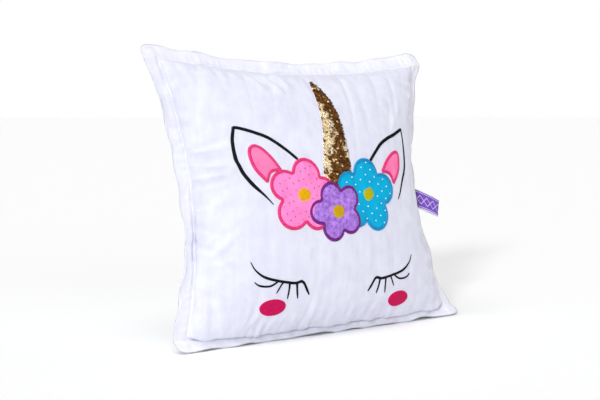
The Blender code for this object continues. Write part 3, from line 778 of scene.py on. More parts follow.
def border_wander(flat, points):
    """How the seam and the rim stray from their smooth lines; the same for both covers."""
    rng = np.random.default_rng(17)
    across = np.gradient(points, axis=0)
    above = np.gradient(points, axis=1)
    normal = normals_of(points, 1.0)
    across /= np.linalg.norm(across, axis=-1, keepdims=True)
    above /= np.linalg.norm(above, axis=-1, keepdims=True)
    move = np.zeros_like(points)
    ways = (-across, across, -above, above)
    for (inward, along, half), way in zip(seam_distances(flat), ways):
        seam_near = np.exp(-((inward / SEAM_REACH) ** 2))
        out = np.clip(-inward / BORDER, 0.0, 1.0)
        ends = smooth_step((half + 0.004 - np.abs(along)) / CORNER_FADE)
        seam_wave = SEAM_WANDER * wavy(along, SEAM_LENGTHS, rng)
        rim_wave = RIM_WANDER * wavy(along, RIM_LENGTHS, rng)
        lift = RIM_WAVE * wavy(along, LIFT_LENGTHS, rng)
        move += way * (ends * (seam_near * seam_wave + out * rim_wave))[..., None]
        move += normal * (ends * out * lift)[..., None]
        if way is ways[2]:
            sag = BELLY_SAG * (1.0 + SAG_UNEVEN * wavy(along, SAG_LENGTHS, rng))
            move += way * (ends * seam_near * (1.0 - out) * sag)[..., None]
            run = np.maximum(inward, 0.0) / BELLY_REACH
            hang = (run * np.exp(1.0 - run)) ** 3 * (sag / BELLY_SAG)
            move += (ends * hang)[..., None] * np.array(BELLY_HANG)
        if way is ways[0]:
            middle, reach, depth = LEFT_CURL
            curl = depth * np.exp(-(((along - middle) / reach) ** 2))
            move -= way * (ends * out * curl)[..., None]
    for corner, radius, stray in CORNER_STRAYS:
        away = np.linalg.norm(points - points[corner], axis=-1)
        move += np.exp(-((away / radius) ** 2))[..., None] * np.array(stray)
    return move


def fold_relief(x, z):
    """The single folds: a ridge with a shallow valley beside it, fading out at both ends."""
    height = np.zeros_like(x)
    for x0, z0, x1, z1, width, rise in FOLDS:
        start = np.array([x0, z0]) / 1000
        way = np.array([x1, z1]) / 1000 - start
        length = np.hypot(*way)
        way = way / length
        along = (x - start[0]) * way[0] + (z - start[1]) * way[1]
        aside = (z - start[1]) * way[0] - (x - start[0]) * way[1]
        share = np.clip(along / length, 0.0, 1.0)
        fade = np.clip(np.sin(math.pi * share), 0.0, 1.0) ** 0.7 * ((along > 0) & (along < length))
        wide = width / 1000 * (0.75 + 0.9 * share)
        ridge = np.exp(-((aside / wide) ** 2)) - 0.6 * np.exp(-(((aside - 1.7 * wide) / wide) ** 2))
        height += FOLD_STRENGTH * rise / 1000 * ridge * fade
    return height


class Cover:
    """One finished side of the cushion: its grid of points and normals."""

    def __init__(self, chart, start, moved, sign, seed, wander):
        flat = refined(flat_grid())
        points = refined(start + simulated_wrinkles(start, moved)) + wander
        normals = normals_of(points, sign)
        seam = refined(smooth_grid(chart))
        relief = puckers(flat, seed) + fold_relief(sign * seam[..., 0], seam[..., 2])
        half_width, half_height = CHEEK_CALM_HALF
        for x, z in CHEEKS.values():
            away = np.hypot((sign * seam[..., 0] - x) / half_width, (seam[..., 2] - z) / half_height)
            relief = relief * (1.0 - CHEEK_CALM * np.exp(-(away ** 4)))
        relief = relief + border_profile(flat, sign)
        relief[rim_of(*flat.shape[:2])] = 0.0
        points = points + normals * relief[..., None]
        points[..., 2] = np.maximum(points[..., 2], 0.0)
        self.chart = chart
        self.points = points
        self.normals = normals_of(points, sign)

    def on(self, design, height=0.0):
        """World places of design points, a height off this cover."""
        design = np.asarray(design, float)
        x = math.cos(FACE_TILT) * design[..., 0] - math.sin(FACE_TILT) * design[..., 1] + FACE_SHIFT
        z = math.sin(FACE_TILT) * design[..., 0] + math.cos(FACE_TILT) * design[..., 1]
        s, t = self.chart.cloth_of(x, z)
        p = ((s + 1) / 2 * CELLS_ACROSS + CELLS_BORDER) * 2
        q = ((t + 1) / 2 * CELLS_UP + CELLS_BORDER) * 2
        normal = lookup(self.normals, p, q)
        return lookup(self.points, p, q) + normal * np.asarray(height)[..., None]


def keep_apart(front, back):
    """Where the two covers would touch or cross, inside the rim, they move apart to the least gap."""
    way = np.array([0.0, -math.cos(LEAN), math.sin(LEAN)])
    gap = (front.points - back.points) @ way
    lack = np.maximum(COVER_GAP - gap, 0.0) / 2
    lack[rim_of(*lack.shape)] = 0.0
    for side, sign in ((front, 1.0), (back, -1.0)):
        side.points = side.points + sign * lack[..., None] * way
        side.points[..., 2] = np.maximum(side.points[..., 2], 0.0)
        side.normals = normals_of(side.points, sign)


# ---------------------------------------------------------------- materials


def new_material(name, color, roughness, **inputs):
    """A Principled material with its even values on the shader's own sockets."""
    mat = bpy.data.materials.new(name)
    mat.use_nodes = True
    shader = mat.node_tree.nodes["Principled BSDF"]
    shader.inputs["Base Color"].default_value = (*color, 1.0)
    shader.inputs["Roughness"].default_value = roughness
    for key, value in inputs.items():
        shader.inputs[key.replace("_", " ")].default_value = value
    return mat


def add_node(mat, kind, **values):
    node = mat.node_tree.nodes.new(kind)
    for key, value in values.items():
        setattr(node, key, value)
    return node


def link(mat, source, target):
    mat.node_tree.links.new(source, target)


def stretched_place(mat, scale=(1.0, 1.0, 1.0)):
    """Object coordinates in metres, stretched by a scale."""
    place = add_node(mat, "ShaderNodeTexCoord")
    mapping = add_node(mat, "ShaderNodeMapping")
    mapping.inputs["Scale"].default_value = scale
    link(mat, place.outputs["Object"], mapping.inputs["Vector"])
    return mapping.outputs["Vector"]


def noise(mat, scale, detail=2.0, stretch=(1.0, 1.0, 1.0), roughness=0.5):
    node = add_node(mat, "ShaderNodeTexNoise")
    node.inputs["Scale"].default_value = scale
    node.inputs["Detail"].default_value = detail
    node.inputs["Roughness"].default_value = roughness
    link(mat, stretched_place(mat, stretch), node.inputs["Vector"])
    return node.outputs["Fac"]


def ramp(mat, source, stops):
    """A colour ramp: a list of (place, colour)."""
    node = add_node(mat, "ShaderNodeValToRGB")
    elements = node.color_ramp.elements
    while len(elements) < len(stops):
        elements.new(0.5)
    for element, (place, color) in zip(elements, stops):
        element.position = place
        element.color = (*color, 1.0)
    link(mat, source, node.inputs["Fac"])
    return node.outputs["Color"]


def set_color(mat, output):
    link(mat, output, mat.node_tree.nodes["Principled BSDF"].inputs["Base Color"])


def set_bump(mat, layers):
    """Bump nodes one after another: a list of (height output, strength, distance)."""
    last = None
    for height, strength, distance in layers:
        bump = add_node(mat, "ShaderNodeBump")
        bump.inputs["Strength"].default_value = strength
        bump.inputs["Distance"].default_value = distance
        link(mat, height, bump.inputs["Height"])
        if last:
            link(mat, last, bump.inputs["Normal"])
        last = bump.outputs["Normal"]
    link(mat, last, mat.node_tree.nodes["Principled BSDF"].inputs["Normal"])


def plush_material(name, light, dark, sheen=0.35, pile=0.0006):
    """Short pile: small tufts, soft mottling where the nap lies differently, and faint streaks down it."""
    mat = new_material(name, light, 0.95, Sheen_Weight=sheen, Sheen_Roughness=0.45, Specular_IOR_Level=0.15)
    mottle = noise(mat, 55.0, 3.0)
    streak = noise(mat, 26.0, 3.0, stretch=(4.0, 4.0, 0.45), roughness=0.6)
    tuft = noise(mat, 430.0, 3.0, stretch=(1.0, 1.0, 0.55), roughness=0.7)
    both = add_node(mat, "ShaderNodeMath", operation="MULTIPLY_ADD")
    both.inputs[1].default_value = 0.5
    link(mat, mottle, both.inputs[0])
    half = add_node(mat, "ShaderNodeMath", operation="MULTIPLY")
    half.inputs[1].default_value = 0.5
    link(mat, streak, half.inputs[0])
    link(mat, half.outputs[0], both.inputs[2])
    set_color(mat, ramp(mat, both.outputs[0], [(0.34, dark), (0.62, light)]))
    set_bump(mat, [(streak, 0.25, 0.0012), (mottle, 0.3, 0.0015), (tuft, 0.6, pile)])
    return mat


def velvet_material(name, light, middle, dark):
    """Crushed velvet: patches of nap lying in different directions."""
    mat = new_material(name, middle, 0.8, Sheen_Weight=0.25, Sheen_Roughness=0.35, Specular_IOR_Level=0.2)
    crush = noise(mat, 190.0, 4.0, roughness=0.65)
    tuft = noise(mat, 1300.0, 2.0)
    set_color(mat, ramp(mat, crush, [(0.36, dark), (0.50, middle), (0.66, light)]))
    set_bump(mat, [(crush, 0.5, 0.0009), (tuft, 0.4, 0.0003)])
    return mat


def thread_material(name, light, dark, roughness=0.45, sheen=0.1, gloss=0.3):
    """Shiny embroidery thread with a slight change of shade from stitch to stitch."""
    mat = new_material(name, light, roughness, Sheen_Weight=sheen, Specular_IOR_Level=gloss)
    shade = noise(mat, 420.0, 3.0)
    twist = noise(mat, 2600.0, 1.0)
    set_color(mat, ramp(mat, shade, [(0.35, dark), (0.65, light)]))
    set_bump(mat, [(twist, 0.3, 0.00015)])
    return mat


def metal_material(name, light, dark, roughness):
    """Sequins and glitter: polished metal in two shades."""
    mat = new_material(name, light, roughness, Metallic=1.0)
    shade = noise(mat, 300.0, 1.0)
    set_color(mat, ramp(mat, shade, [(0.35, dark), (0.65, light)]))
    return mat


# ---------------------------------------------------------------- sewn-on pieces


def place_piece(obj, body, slot, *nodes):
    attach(obj, body)
    if nodes:
        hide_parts(*nodes)
    return obj


def curve_through(points, spacing):
    """A smooth line (Catmull-Rom) through points, resampled evenly at about the spacing."""
    points = np.asarray(points, float)
    ends = np.concatenate([2 * points[:1] - points[1:2], points, 2 * points[-1:] - points[-2:-1]])
    line = []
    for k in range(1, len(ends) - 2):
        p0, p1, p2, p3 = ends[k - 1:k + 3]
        t = np.linspace(0, 1, 24, endpoint=False)[:, None]
        line.append(0.5 * (2 * p1 + (p2 - p0) * t + (2 * p0 - 5 * p1 + 4 * p2 - p3) * t ** 2
                           + (3 * p1 - p0 - 3 * p2 + p3) * t ** 3))
    line.append(points[-1:])
    return resampled(np.concatenate(line), spacing, False)


def resampled(line, spacing, closed):
    if closed:
        line = np.concatenate([line, line[:1]])
    length = run_lengths(line)
    count = max(4, int(round(length[-1] / spacing / 2)) * 2)
    at = np.linspace(0, length[-1], count + 1)
    line = np.stack([np.interp(at, length, line[:, k]) for k in (0, 1)], axis=-1)
    return line[:-1] if closed else line


def mirrored(points):
    points = np.asarray(points, float).copy()
    points[:, 0] *= -1
    return points


def petal_curve(swing):
    """Reach of a round petal at a swing from its axis, as a share of its reach on the axis."""
    inside = (1.0 - PETAL_SHARE) ** 2 - (PETAL_SHARE * np.sin(swing)) ** 2
    return PETAL_SHARE * np.cos(swing) + np.sqrt(np.maximum(inside, 0.0))


def flower_reach(flower, angle):
    """Distance from the flower's middle to its edge at angles, in metres."""
    angle = np.degrees(angle)
    reach = np.zeros_like(angle)
    depth = 1.0 - petal_curve(PETAL_SWING)
    for k, (axis, top) in enumerate(flower["petals"]):
        for notch, low in (flower["notches"][k - 1], flower["notches"][k]):
            swing = (angle - axis + 180.0) % 360.0 - 180.0
            limit = (notch - axis + 180.0) % 360.0 - 180.0
            mine = (swing * limit >= 0.0) & (np.abs(swing) <= abs(limit))
            share = np.abs(swing) / abs(limit)
            value = top - (top - low) * (1.0 - petal_curve(share * PETAL_SWING)) / depth
            reach = np.where(mine, value, reach)
    return reach / 1000


def flower_middle(flower):
    return np.array(flower["middle"]) / 1000


def flower_outline(flower, shrink=0.0, count=400):
    """The petals' edge, anticlockwise, moved inwards by a distance."""
    angle = np.arange(count) / count * math.tau
    way = np.stack([np.cos(angle), np.sin(angle)], axis=-1)
    edge = flower_middle(flower) + flower_reach(flower, angle)[:, None] * way
    edge = resampled(edge, 0.0009, True)
    along = np.roll(edge, -1, axis=0) - np.roll(edge, 1, axis=0)
    along /= np.linalg.norm(along, axis=-1, keepdims=True)
    return edge + np.stack([-along[:, 1], along[:, 0]], axis=-1) * shrink


def smooth_step(value):
    value = np.clip(value, 0.0, 1.0)
    return value * value * (3.0 - 2.0 * value)


def underlay(points, layer):
    """How much the sewn-on pieces below a layer lift it at design points."""
    points = np.asarray(points, float)
    lift = np.zeros(points.shape[:-1])
    for flower in FLOWERS.values():
        if flower["layer"] < layer:
            offset = points - flower_middle(flower)
            distance = np.hypot(offset[..., 0], offset[..., 1])
            reach = flower_reach(flower, np.arctan2(offset[..., 1], offset[..., 0]))
            lift = lift + PATCH_THICK * 1.1 * smooth_step((reach - distance) / 0.003 + 0.5)
    if layer > 0:
        left = horn_edge(HORN_LEFT, points[..., 1])
        right = horn_edge(HORN_RIGHT, points[..., 1])
        inside = np.minimum(points[..., 0] - left, right - points[..., 0])
        above = smooth_step((points[..., 1] - HORN_LEFT[0][1]) / 0.004)
        lift = lift + 0.0012 * smooth_step(inside / 0.003 + 0.5) * above
    return lift


def ring_faces(count, size, closed=False):
    """Faces between rings of points laid one after another; closed joins the last ring to the first."""
    k = np.arange(count * size).reshape(count, size)
    k = np.concatenate([k, k[:, :1]], axis=1)
    if closed:
        k = np.concatenate([k, k[:1]], axis=0)
    quads = np.stack([k[:-1, :-1], k[:-1, 1:], k[1:, 1:], k[1:, :-1]], axis=-1).reshape(-1, 4)
    return [tuple(quad) for quad in quads]


def slab_faces(rows, columns):
    """Faces of a closed slab: two equal grids, numbered one after the other, and the wall round them."""
    total = rows * columns
    ring = list(range(columns))
    ring += [i * columns + columns - 1 for i in range(1, rows)]
    ring += [(rows - 1) * columns + j for j in range(columns - 2, -1, -1)]
    ring += [i * columns for i in range(rows - 2, 0, -1)]
    wall = [(a, b, b + total, a + total) for a, b in zip(ring, ring[1:] + ring[:1])]
    upper = grid_faces(rows, columns)
    lower = grid_faces(rows, columns, start=total, flip=True)
    return [tuple(quad) for quad in np.concatenate([upper, lower])] + wall


def patch(name, outline, middle, layer, puff, mat, rings=14, relief=None):
    """A piece of cloth with a soft turned edge, from its middle out to its outline."""
    outline = np.asarray(outline, float)
    middle = np.asarray(middle, float)
    rows = []
    for k in range(1, rings + 1):
        share = k / rings
        design = middle + (outline - middle) * share
        edge = 1.0 - share ** 10
        height = underlay(design, layer) + PATCH_THICK * (0.25 + 0.75 * edge) + puff * (1.0 - share ** 3)
        if relief is not None:
            height = height + relief(design) * edge
        rows.append(cover.on(design, height))
    rows.append(cover.on(outline, underlay(outline, layer) - PATCH_SINK))
    size = len(outline)
    top = cover.on(middle, underlay(middle, layer) + PATCH_THICK + puff)
    under = cover.on(middle, underlay(middle, layer) - PATCH_SINK)
    points = np.concatenate([*rows, [top, under]])
    top_id, under_id = len(points) - 2, len(points) - 1
    ring = np.arange(size)
    after = (ring + 1) % size
    last = rings * size
    fan = [(top_id, a, b) for a, b in zip(ring, after)]
    fan += [(under_id, b + last, a + last) for a, b in zip(ring, after)]
    return finish_mesh(name, points, ring_faces(len(rows), size) + fan, [mat])


def finish_mesh(name, points, faces, materials):
    obj = mesh_object(name, points, faces, materials)
    turn_outward(obj)
    return obj


def turn_outward(obj):
    """Face normals outwards on every closed part of the mesh."""
    work = bmesh.new()
    work.from_mesh(obj.data)
    bmesh.ops.recalc_face_normals(work, faces=work.faces[:])
    work.to_mesh(obj.data)
    work.free()


def satin_body(line, widths, thick, layer, closed):
    """Points and faces of a satin-stitched line: an arched band whose stitches cross it, ridge by ridge."""
    count = len(line)
    if closed:
        along = np.roll(line, -1, axis=0) - np.roll(line, 1, axis=0)
    else:
        along = np.gradient(line, axis=0)
    along = along / np.linalg.norm(along, axis=-1, keepdims=True)
    side = np.stack([-along[:, 1], along[:, 0]], axis=-1)
    odd = (np.arange(count) % 2).astype(float)
    half = np.broadcast_to(widths, (count,)) / 2 * (1.0 - 0.05 * odd)
    low = np.minimum(1.0, np.broadcast_to(widths, (count,)) / 0.0016)
    across = np.array([-1.0, -0.86, -0.55, 0.0, 0.55, 0.86, 1.0])
    arch = np.sqrt(np.maximum(1.0 - across ** 2, 0.0))
    rows = []
    for place, rise in zip(across, arch):
        design = line + side * (half * place)[:, None] + along * (half * place * STITCH_SLANT)[:, None]
        height = underlay(design, layer) + thick * low * rise * (1.0 - 0.20 * odd)
        rows.append(cover.on(design, height))
    for place in (1.0, -1.0):
        design = line + side * (half * place)[:, None]
        rows.append(cover.on(design, underlay(design, layer) - SATIN_SINK))
    size = len(rows)
    points = np.stack(rows, axis=1).reshape(-1, 3)
    faces = ring_faces(count, size, closed)
    if not closed:
        faces.append(tuple(range(size)))
        faces.append(tuple(reversed(range((count - 1) * size, count * size))))
    return points, faces


def joined(parts):
    """Several bodies' points and faces as one list each."""
    points, faces, start = [], [], 0
    for some_points, some_faces in parts:
        points.append(np.asarray(some_points))
        faces += [tuple(int(v) + start for v in face) for face in some_faces]
        start += len(some_points)
    return np.concatenate(points), faces


def satin_loop(name, outline, width, layer, mat):
    line = resampled(np.asarray(outline), STITCH_PITCH / 2, True)
    points, faces = satin_body(line, width, SATIN_THICK + PATCH_THICK * 0.5, layer, True)
    return finish_mesh(name, points, faces, [mat])


def satin_line(points, ends, thick=SATIN_THICK, layer=0):
    """A satin line through points; ends are its widths at the start, middle and end."""
    line = curve_through(points, STITCH_PITCH / 2)
    share = np.linspace(0.0, 1.0, len(line))
    width = np.interp(share, WIDTH_PLACES, [ends[0], ends[1], ends[1], ends[2]])
    tip = np.minimum(1.0, np.minimum(share, 1.0 - share) * len(line) / 6 + 0.35)
    return satin_body(line, width * tip, thick, layer, False)


def filled_disc(name, middle, half, layer, thick, mat, turn=0.0):
    """An ellipse filled with close rows of stitches, with the stitch ends staggered from row to row."""
    rows = max(6, int(round(2 * half[1] / FILL_PITCH))) * 2
    columns = max(10, int(round(2 * half[0] / 0.0009)))
    t = np.linspace(-1.0, 1.0, rows + 1)
    s = np.linspace(-1.0, 1.0, columns + 1)
    chord = np.sqrt(np.maximum(1.0 - t ** 2, 0.0004))
    x = half[0] * chord[:, None] * s[None, :]
    z = np.broadcast_to((half[1] * t)[:, None], x.shape)
    turned_x = middle[0] + x * math.cos(turn) - z * math.sin(turn)
    turned_z = middle[1] + x * math.sin(turn) + z * math.cos(turn)
    design = np.stack([turned_x, turned_z], axis=-1)
    dome = np.maximum((1.0 - t[:, None] ** 2) * (1.0 - s[None, :] ** 4), 0.0) ** 0.35
    ridge = 1.0 - 0.16 * (np.arange(rows + 1) % 2)[:, None]
    stitch = (x / FILL_STITCH + (np.arange(rows + 1) // 2)[:, None] * FILL_SHIFT) % 1.0
    dip = 1.0 - 0.22 * np.exp(-(((stitch - 0.5) / 0.09) ** 2))
    lift = underlay(design, layer)
    top = cover.on(design, lift + thick * dome * ridge * dip)
    under = cover.on(design, lift - FILL_SINK)
    points = np.concatenate([top.reshape(-1, 3), under.reshape(-1, 3)])
    return finish_mesh(name, points, slab_faces(rows + 1, columns + 1), [mat])


def dot_body(place, normal, radius, thick, sides=10, tilt=(0.0, 0.0), dish=0.0):
    """Points and faces of one small round disc: a dot or a sequin, tilted a little off the cloth."""
    normal = Vector(normal)
    first = normal.orthogonal().normalized()
    second = normal.cross(first)
    lean = (normal + first * tilt[0] + second * tilt[1]).normalized()
    first = (first - lean * first.dot(lean)).normalized()
    second = lean.cross(first)
    points = []
    for level in (0.5, -0.5):
        for k in range(sides):
            angle = math.tau * k / sides
            out = first * math.cos(angle) * radius + second * math.sin(angle) * radius
            points.append(tuple(Vector(place) + out + lean * (level * thick + dish)))
    points.append(tuple(Vector(place) + lean * 0.5 * thick))
    points.append(tuple(Vector(place) - lean * 0.5 * thick))
    faces = []
    for k in range(sides):
        n = (k + 1) % sides
        faces.append((2 * sides, k, n))
        faces.append((2 * sides + 1, n + sides, k + sides))
        faces.append((k, k + sides, n + sides, n))
    return points, faces


def cover_normals(design):
    """Outward normals of the front cover at design points."""
    here = cover.on(design)
    off = cover.on(design, np.full(len(design), 0.001))
    step = off - here
    return step / np.linalg.norm(step, axis=-1, keepdims=True)


def inside_flower(flower, points, margin):
    offset = points - flower_middle(flower)
    distance = np.hypot(offset[:, 0], offset[:, 1])
    return distance < flower_reach(flower, np.arctan2(offset[:, 1], offset[:, 0])) - margin


def flower_dots(name, flower, step, turn, radius, jitter, seed, mat):
    """Small printed or glitter dots on a slanted lattice, kept off the heart and the satin edge."""
    rng = np.random.default_rng(seed)
    count = int(max(reach for _, reach in flower["petals"]) / 1000 / min(step)) + 2
    i, j = np.meshgrid(np.arange(-count, count + 1), np.arange(-count, count + 1), indexing="ij")
    grid = np.stack([i.ravel() * step[0], j.ravel() * step[1]], axis=-1)
    angle = math.radians(turn)
    spin = np.array([[math.cos(angle), math.sin(angle)], [-math.sin(angle), math.cos(angle)]])
    places = flower_middle(flower) + grid @ spin + rng.uniform(-jitter, jitter, grid.shape)
    offset = places - flower_middle(flower)
    keep = inside_flower(flower, places, SATIN_WIDTH + radius + 0.0004)
    keep &= np.hypot(offset[:, 0], offset[:, 1]) > FLOWER_HEART + radius + 0.0006
    for other in FLOWERS.values():
        if other["layer"] > flower["layer"]:
            keep &= ~inside_flower(other, places, -radius)
    places = places[keep]
    lift = underlay(places, flower["layer"]) + PATCH_THICK + DOT_LIFT
    points = cover.on(places, lift)
    normals = cover_normals(places)
    bodies = [dot_body(p, n, radius, 0.0004) for p, n in zip(points, normals)]
    return finish_mesh(name, *joined(bodies), [mat])


def make_flower(name, cloth, thread, heart, relief_scale):
    """One flower: its quilted cloth, its satin edge and its stitched heart."""
    flower = FLOWERS[name]
    layer = flower["layer"]
    middle = flower_middle(flower)

    def quilt(design):
        wave = np.sin(design[:, 0] * relief_scale) * np.sin(design[:, 1] * relief_scale * 0.9 + 1.3)
        return QUILT_HEIGHT * wave

    outline = flower_outline(flower, SATIN_WIDTH * 0.6)
    body = patch(f"{name}_flower_cloth", outline, middle, layer, FLOWER_PUFF, cloth, relief=quilt)
    place_piece(body, "cushion", FLOWER_SLOTS[name][0], f"{name}_flower_patch")
    stitched = flower_outline(flower, SATIN_WIDTH / 2)
    edge = satin_loop(f"{name}_flower_satin", stitched, SATIN_WIDTH, layer, thread)
    place_piece(edge, "cushion", FLOWER_SLOTS[name][1], f"{name}_flower_border")
    half = (FLOWER_HEART, FLOWER_HEART)
    thick = PATCH_THICK + HEART_THICK
    disc = filled_disc(f"{name}_flower_heart_stitches", middle, half, layer, thick, heart, turn=HEART_TURN)
    place_piece(disc, "cushion", "yellow_thread", f"{name}_flower_heart")


def make_ear(side, black, pink, pink_thread):
    """One ear: its stitched lines, the inner ear's cloth and its satin edge."""
    parts = [satin_line(line, ends) for line, ends in EAR_LINES[side]]
    line = finish_mesh(f"{side}_ear_stitched_line", *joined(parts), [black])
    place_piece(line, "cushion", "black_thread", f"{side}_ear_outline")
    outline = np.concatenate([curve_through(part, 0.0006)[:-1] for part in INNER_EARS[side]])
    middle = outline.mean(axis=0)
    inner = middle + (outline - middle) * INNER_CLOTH_SHARE
    cloth = patch(f"{side}_inner_ear_cloth", inner, middle, 0, INNER_EAR_PUFF, pink, rings=10)
    place_piece(cloth, "cushion", "pink_plush", f"{side}_inner_ear_patch")
    stitched = middle + (outline - middle) * INNER_SATIN_SHARE
    edge = satin_loop(f"{side}_inner_ear_satin", stitched, SATIN_WIDTH, 0, pink_thread)
    place_piece(edge, "cushion", "pink_thread", f"{side}_inner_ear_border")


def make_eye(side, black):
    """One closed eye with its lashes; the right one mirrors the left."""
    parts = []
    for line, ends in EYE_LINES:
        line = np.array(line if side == "left" else mirrored(line)) - np.array([0.0, EYE_DROP[side]])
        parts.append(satin_line(line, [EYE_WEIGHT * end for end in ends], thick=EYE_THICK))
    eye = finish_mesh(f"{side}_eye_stitches", *joined(parts), [black])
    place_piece(eye, "cushion", "black_thread", f"{side}_eye_embroidery")


# ---------------------------------------------------------------- horn


def horn_edge(points, z):
    """How far across one edge of the horn lies at heights z."""
    return np.interp(z, [up for _, up in points], [across for across, _ in points])


def make_horn_backing(mat):
    """The horn's dark mesh, a little raised in the middle, under the sequins."""
    rows = 60
    columns = 14
    z = np.linspace(HORN_LEFT[0][1], HORN_LEFT[-1][1], rows + 1)
    left, right = horn_edge(HORN_LEFT, z), horn_edge(HORN_RIGHT, z)
    s = np.linspace(0.0, 1.0, columns + 1)
    x = left[:, None] + (right - left)[:, None] * s[None, :]
    design = np.stack([x, np.broadcast_to(z[:, None], x.shape)], axis=-1)
    arch = np.maximum(1.0 - (2 * s - 1.0) ** 4, 0.0)[None, :] * np.ones((rows + 1, 1))
    top = cover.on(design, 0.0002 + 0.0009 * arch)
    under = cover.on(design, np.full(x.shape, -PATCH_SINK))
    points = np.concatenate([top.reshape(-1, 3), under.reshape(-1, 3)])
    horn = finish_mesh("horn_backing", points, slab_faces(rows + 1, columns + 1), [mat])
    place_piece(horn, "cushion", "gold_sequin", "horn_patch")


def sequin_row(level, odd, rng):
    """Places of one row of sequins, clear of the flowers, and each one's share of the way across."""
    low = horn_edge(HORN_LEFT, level) + SEQUIN_MARGIN
    high = horn_edge(HORN_RIGHT, level) - SEQUIN_MARGIN
    count = max(1, int((high - low) / SEQUIN_STEP[0]) + 1)
    across = np.linspace(low, high, count) if count > 1 else np.array([(low + high) / 2])
    if odd and count > 1:
        across = (across[:-1] + across[1:]) / 2
    places = np.stack([across, np.full(len(across), level)], axis=-1)
    places = places + rng.uniform(-SEQUIN_JITTER, SEQUIN_JITTER, places.shape)
    for flower in FLOWERS.values():
        places = places[~inside_flower(flower, places, SEQUIN_RADIUS * 0.5)]
    return places, (places[:, 0] - low) / max(high - low, 1e-6)


def make_sequins(light, dark):
    """Overlapping rows from the tip down, each sequin tilted a little and hanging from its upper edge."""
    rng = np.random.default_rng(11)
    bodies = {"light": [], "dark": []}
    level = HORN_LEFT[-1][1] - 0.0012
    odd = False
    while level > HORN_LEFT[0][1] + 0.001:
        places, share = sequin_row(level, odd, rng)
        if len(places):
            lift = 0.0012 + 0.0006 * (1.0 - (2 * share - 1.0) ** 4) + rng.uniform(0.0, 0.0003, len(share))
            for point, normal, design in zip(cover.on(places, lift), cover_normals(places), places):
                tone = "light" if is_light_sequin(design, rng) else "dark"
                tilt = (rng.normal(0.0, SEQUIN_TILT), rng.normal(0.0, SEQUIN_TILT))
                way = (Vector(normal) + Vector(SEQUIN_HANG)).normalized()
                body = dot_body(point, way, SEQUIN_RADIUS, SEQUIN_THICK, tilt=tilt, dish=SEQUIN_DISH)
                bodies[tone].append(body)
        level -= SEQUIN_STEP[1]
        odd = not odd
    for tone, mat in (("light", light), ("dark", dark)):
        sequins = finish_mesh(f"horn_{tone}_sequins", *joined(bodies[tone]), [mat])
        place_piece(sequins, "cushion", "gold_sequin")


def make_horn_edge(thread):
    """The stitched line all round the horn."""
    outline = np.concatenate([np.array(HORN_RIGHT), np.array(HORN_LEFT)[::-1]])
    line = resampled(outline, STITCH_PITCH, True)
    points, faces = satin_body(line, HORN_EDGE_WIDTH, HORN_EDGE_THICK, 0, True)
    edge = finish_mesh("horn_edge_zigzag", points, faces, [thread])
    place_piece(edge, "cushion", "white_thread", "horn_edge_stitch")


def is_light_sequin(design, rng):
    """Light on the left of the dividing line, dark on the right, with a few strays and spots."""
    divide = np.interp(design[1], [z for z, _ in HORN_DIVIDE], [x for _, x in HORN_DIVIDE])
    light = design[0] < divide + rng.normal(0.0, 0.0030) + 0.0022 * math.sin(design[1] * 520.0)
    for (x, z), radius in HORN_LIGHT_SPOTS:
        light = light or math.hypot(design[0] - x, design[1] - z) < radius
    for (x, z), radius in HORN_DARK_SPOTS:
        light = light and math.hypot(design[0] - x, design[1] - z) > radius
    stray = rng.random() < STRAY_SEQUINS
    return bool(light) != bool(stray)


# ---------------------------------------------------------------- cover, seams and label


def border_slots(columns, rows):
    """Material slot of every face of a cover's grid: 1 in the border, which takes the lighter plush copy with
    painted light, 0 inside the seam.
    """
    edge = 2 * CELLS_BORDER
    slots = np.ones((columns - 1, rows - 1), int)
    slots[edge:-edge, edge:-edge] = 0
    return slots.ravel()


def closed_cover(points, middle, flip):
    """Points, faces and slots of one cover, closed behind by a layer through the middle of the cushion.

    The layer shares the rim, follows the covers' own cells to a little inside the seam, and is a fan across
    the filling.
    """
    columns, rows = points.shape[:2]
    reach = 2 * CELLS_BORDER + LINING_CELLS
    count = columns * rows
    i, j = np.meshgrid(np.arange(columns), np.arange(rows), indexing="ij")
    inset = np.minimum.reduce([i, j, columns - 1 - i, rows - 1 - j])
    layer = i * rows + j
    lined = (inset > 0) & (inset <= reach)
    layer[lined] = count + np.arange(lined.sum())
    centre = count + int(lined.sum())
    core = middle[reach:-reach, reach:-reach].mean(axis=(0, 1))
    slots = border_slots(columns, rows)
    near_rim = (np.minimum.reduce([i, j, columns - 2 - i, rows - 2 - j]) < reach)[:-1, :-1].ravel()
    lining = layer.ravel()[grid_faces(columns, rows, flip=not flip)[near_rim]]
    inner = layer[reach:columns - reach, reach:rows - reach]
    ring = np.concatenate([inner[:-1, 0], inner[-1, :-1], inner[:0:-1, -1], inner[0, :0:-1]])
    ahead = np.roll(ring, -1)
    pairs = zip(ring, ahead) if flip else zip(ahead, ring)
    faces = [tuple(f) for f in grid_faces(columns, rows, flip=flip)]
    faces += [tuple(f) for f in lining]
    faces += [(a, b, centre) for a, b in pairs]
    places = np.concatenate([points.reshape(-1, 3), middle[lined], core[None]])
    return places, faces, list(slots) + [1] * (len(faces) - len(slots))


def make_covers(front, back, plush, border_plush_painted_light):
    """Both sides of the cushion; the front one also stands for the filling."""
    middle = (front.points + back.points) / 2
    for name, side, flip, nodes in (
        ("front_plush", front, False, ("front_cover", "filling")),
        ("back_plush", back, True, ("back_cover",)),
    ):
        points, faces, slots = closed_cover(side.points, middle, flip)
        # Slot 1, the border and the middle layer, takes the lighter plush copy: painted light on the border.
        obj = mesh_object(name, points, faces, [plush, border_plush_painted_light])
        obj.data.polygons.foreach_set("material_index", slots)
        place_piece(obj, "cushion", "white_plush", *nodes)


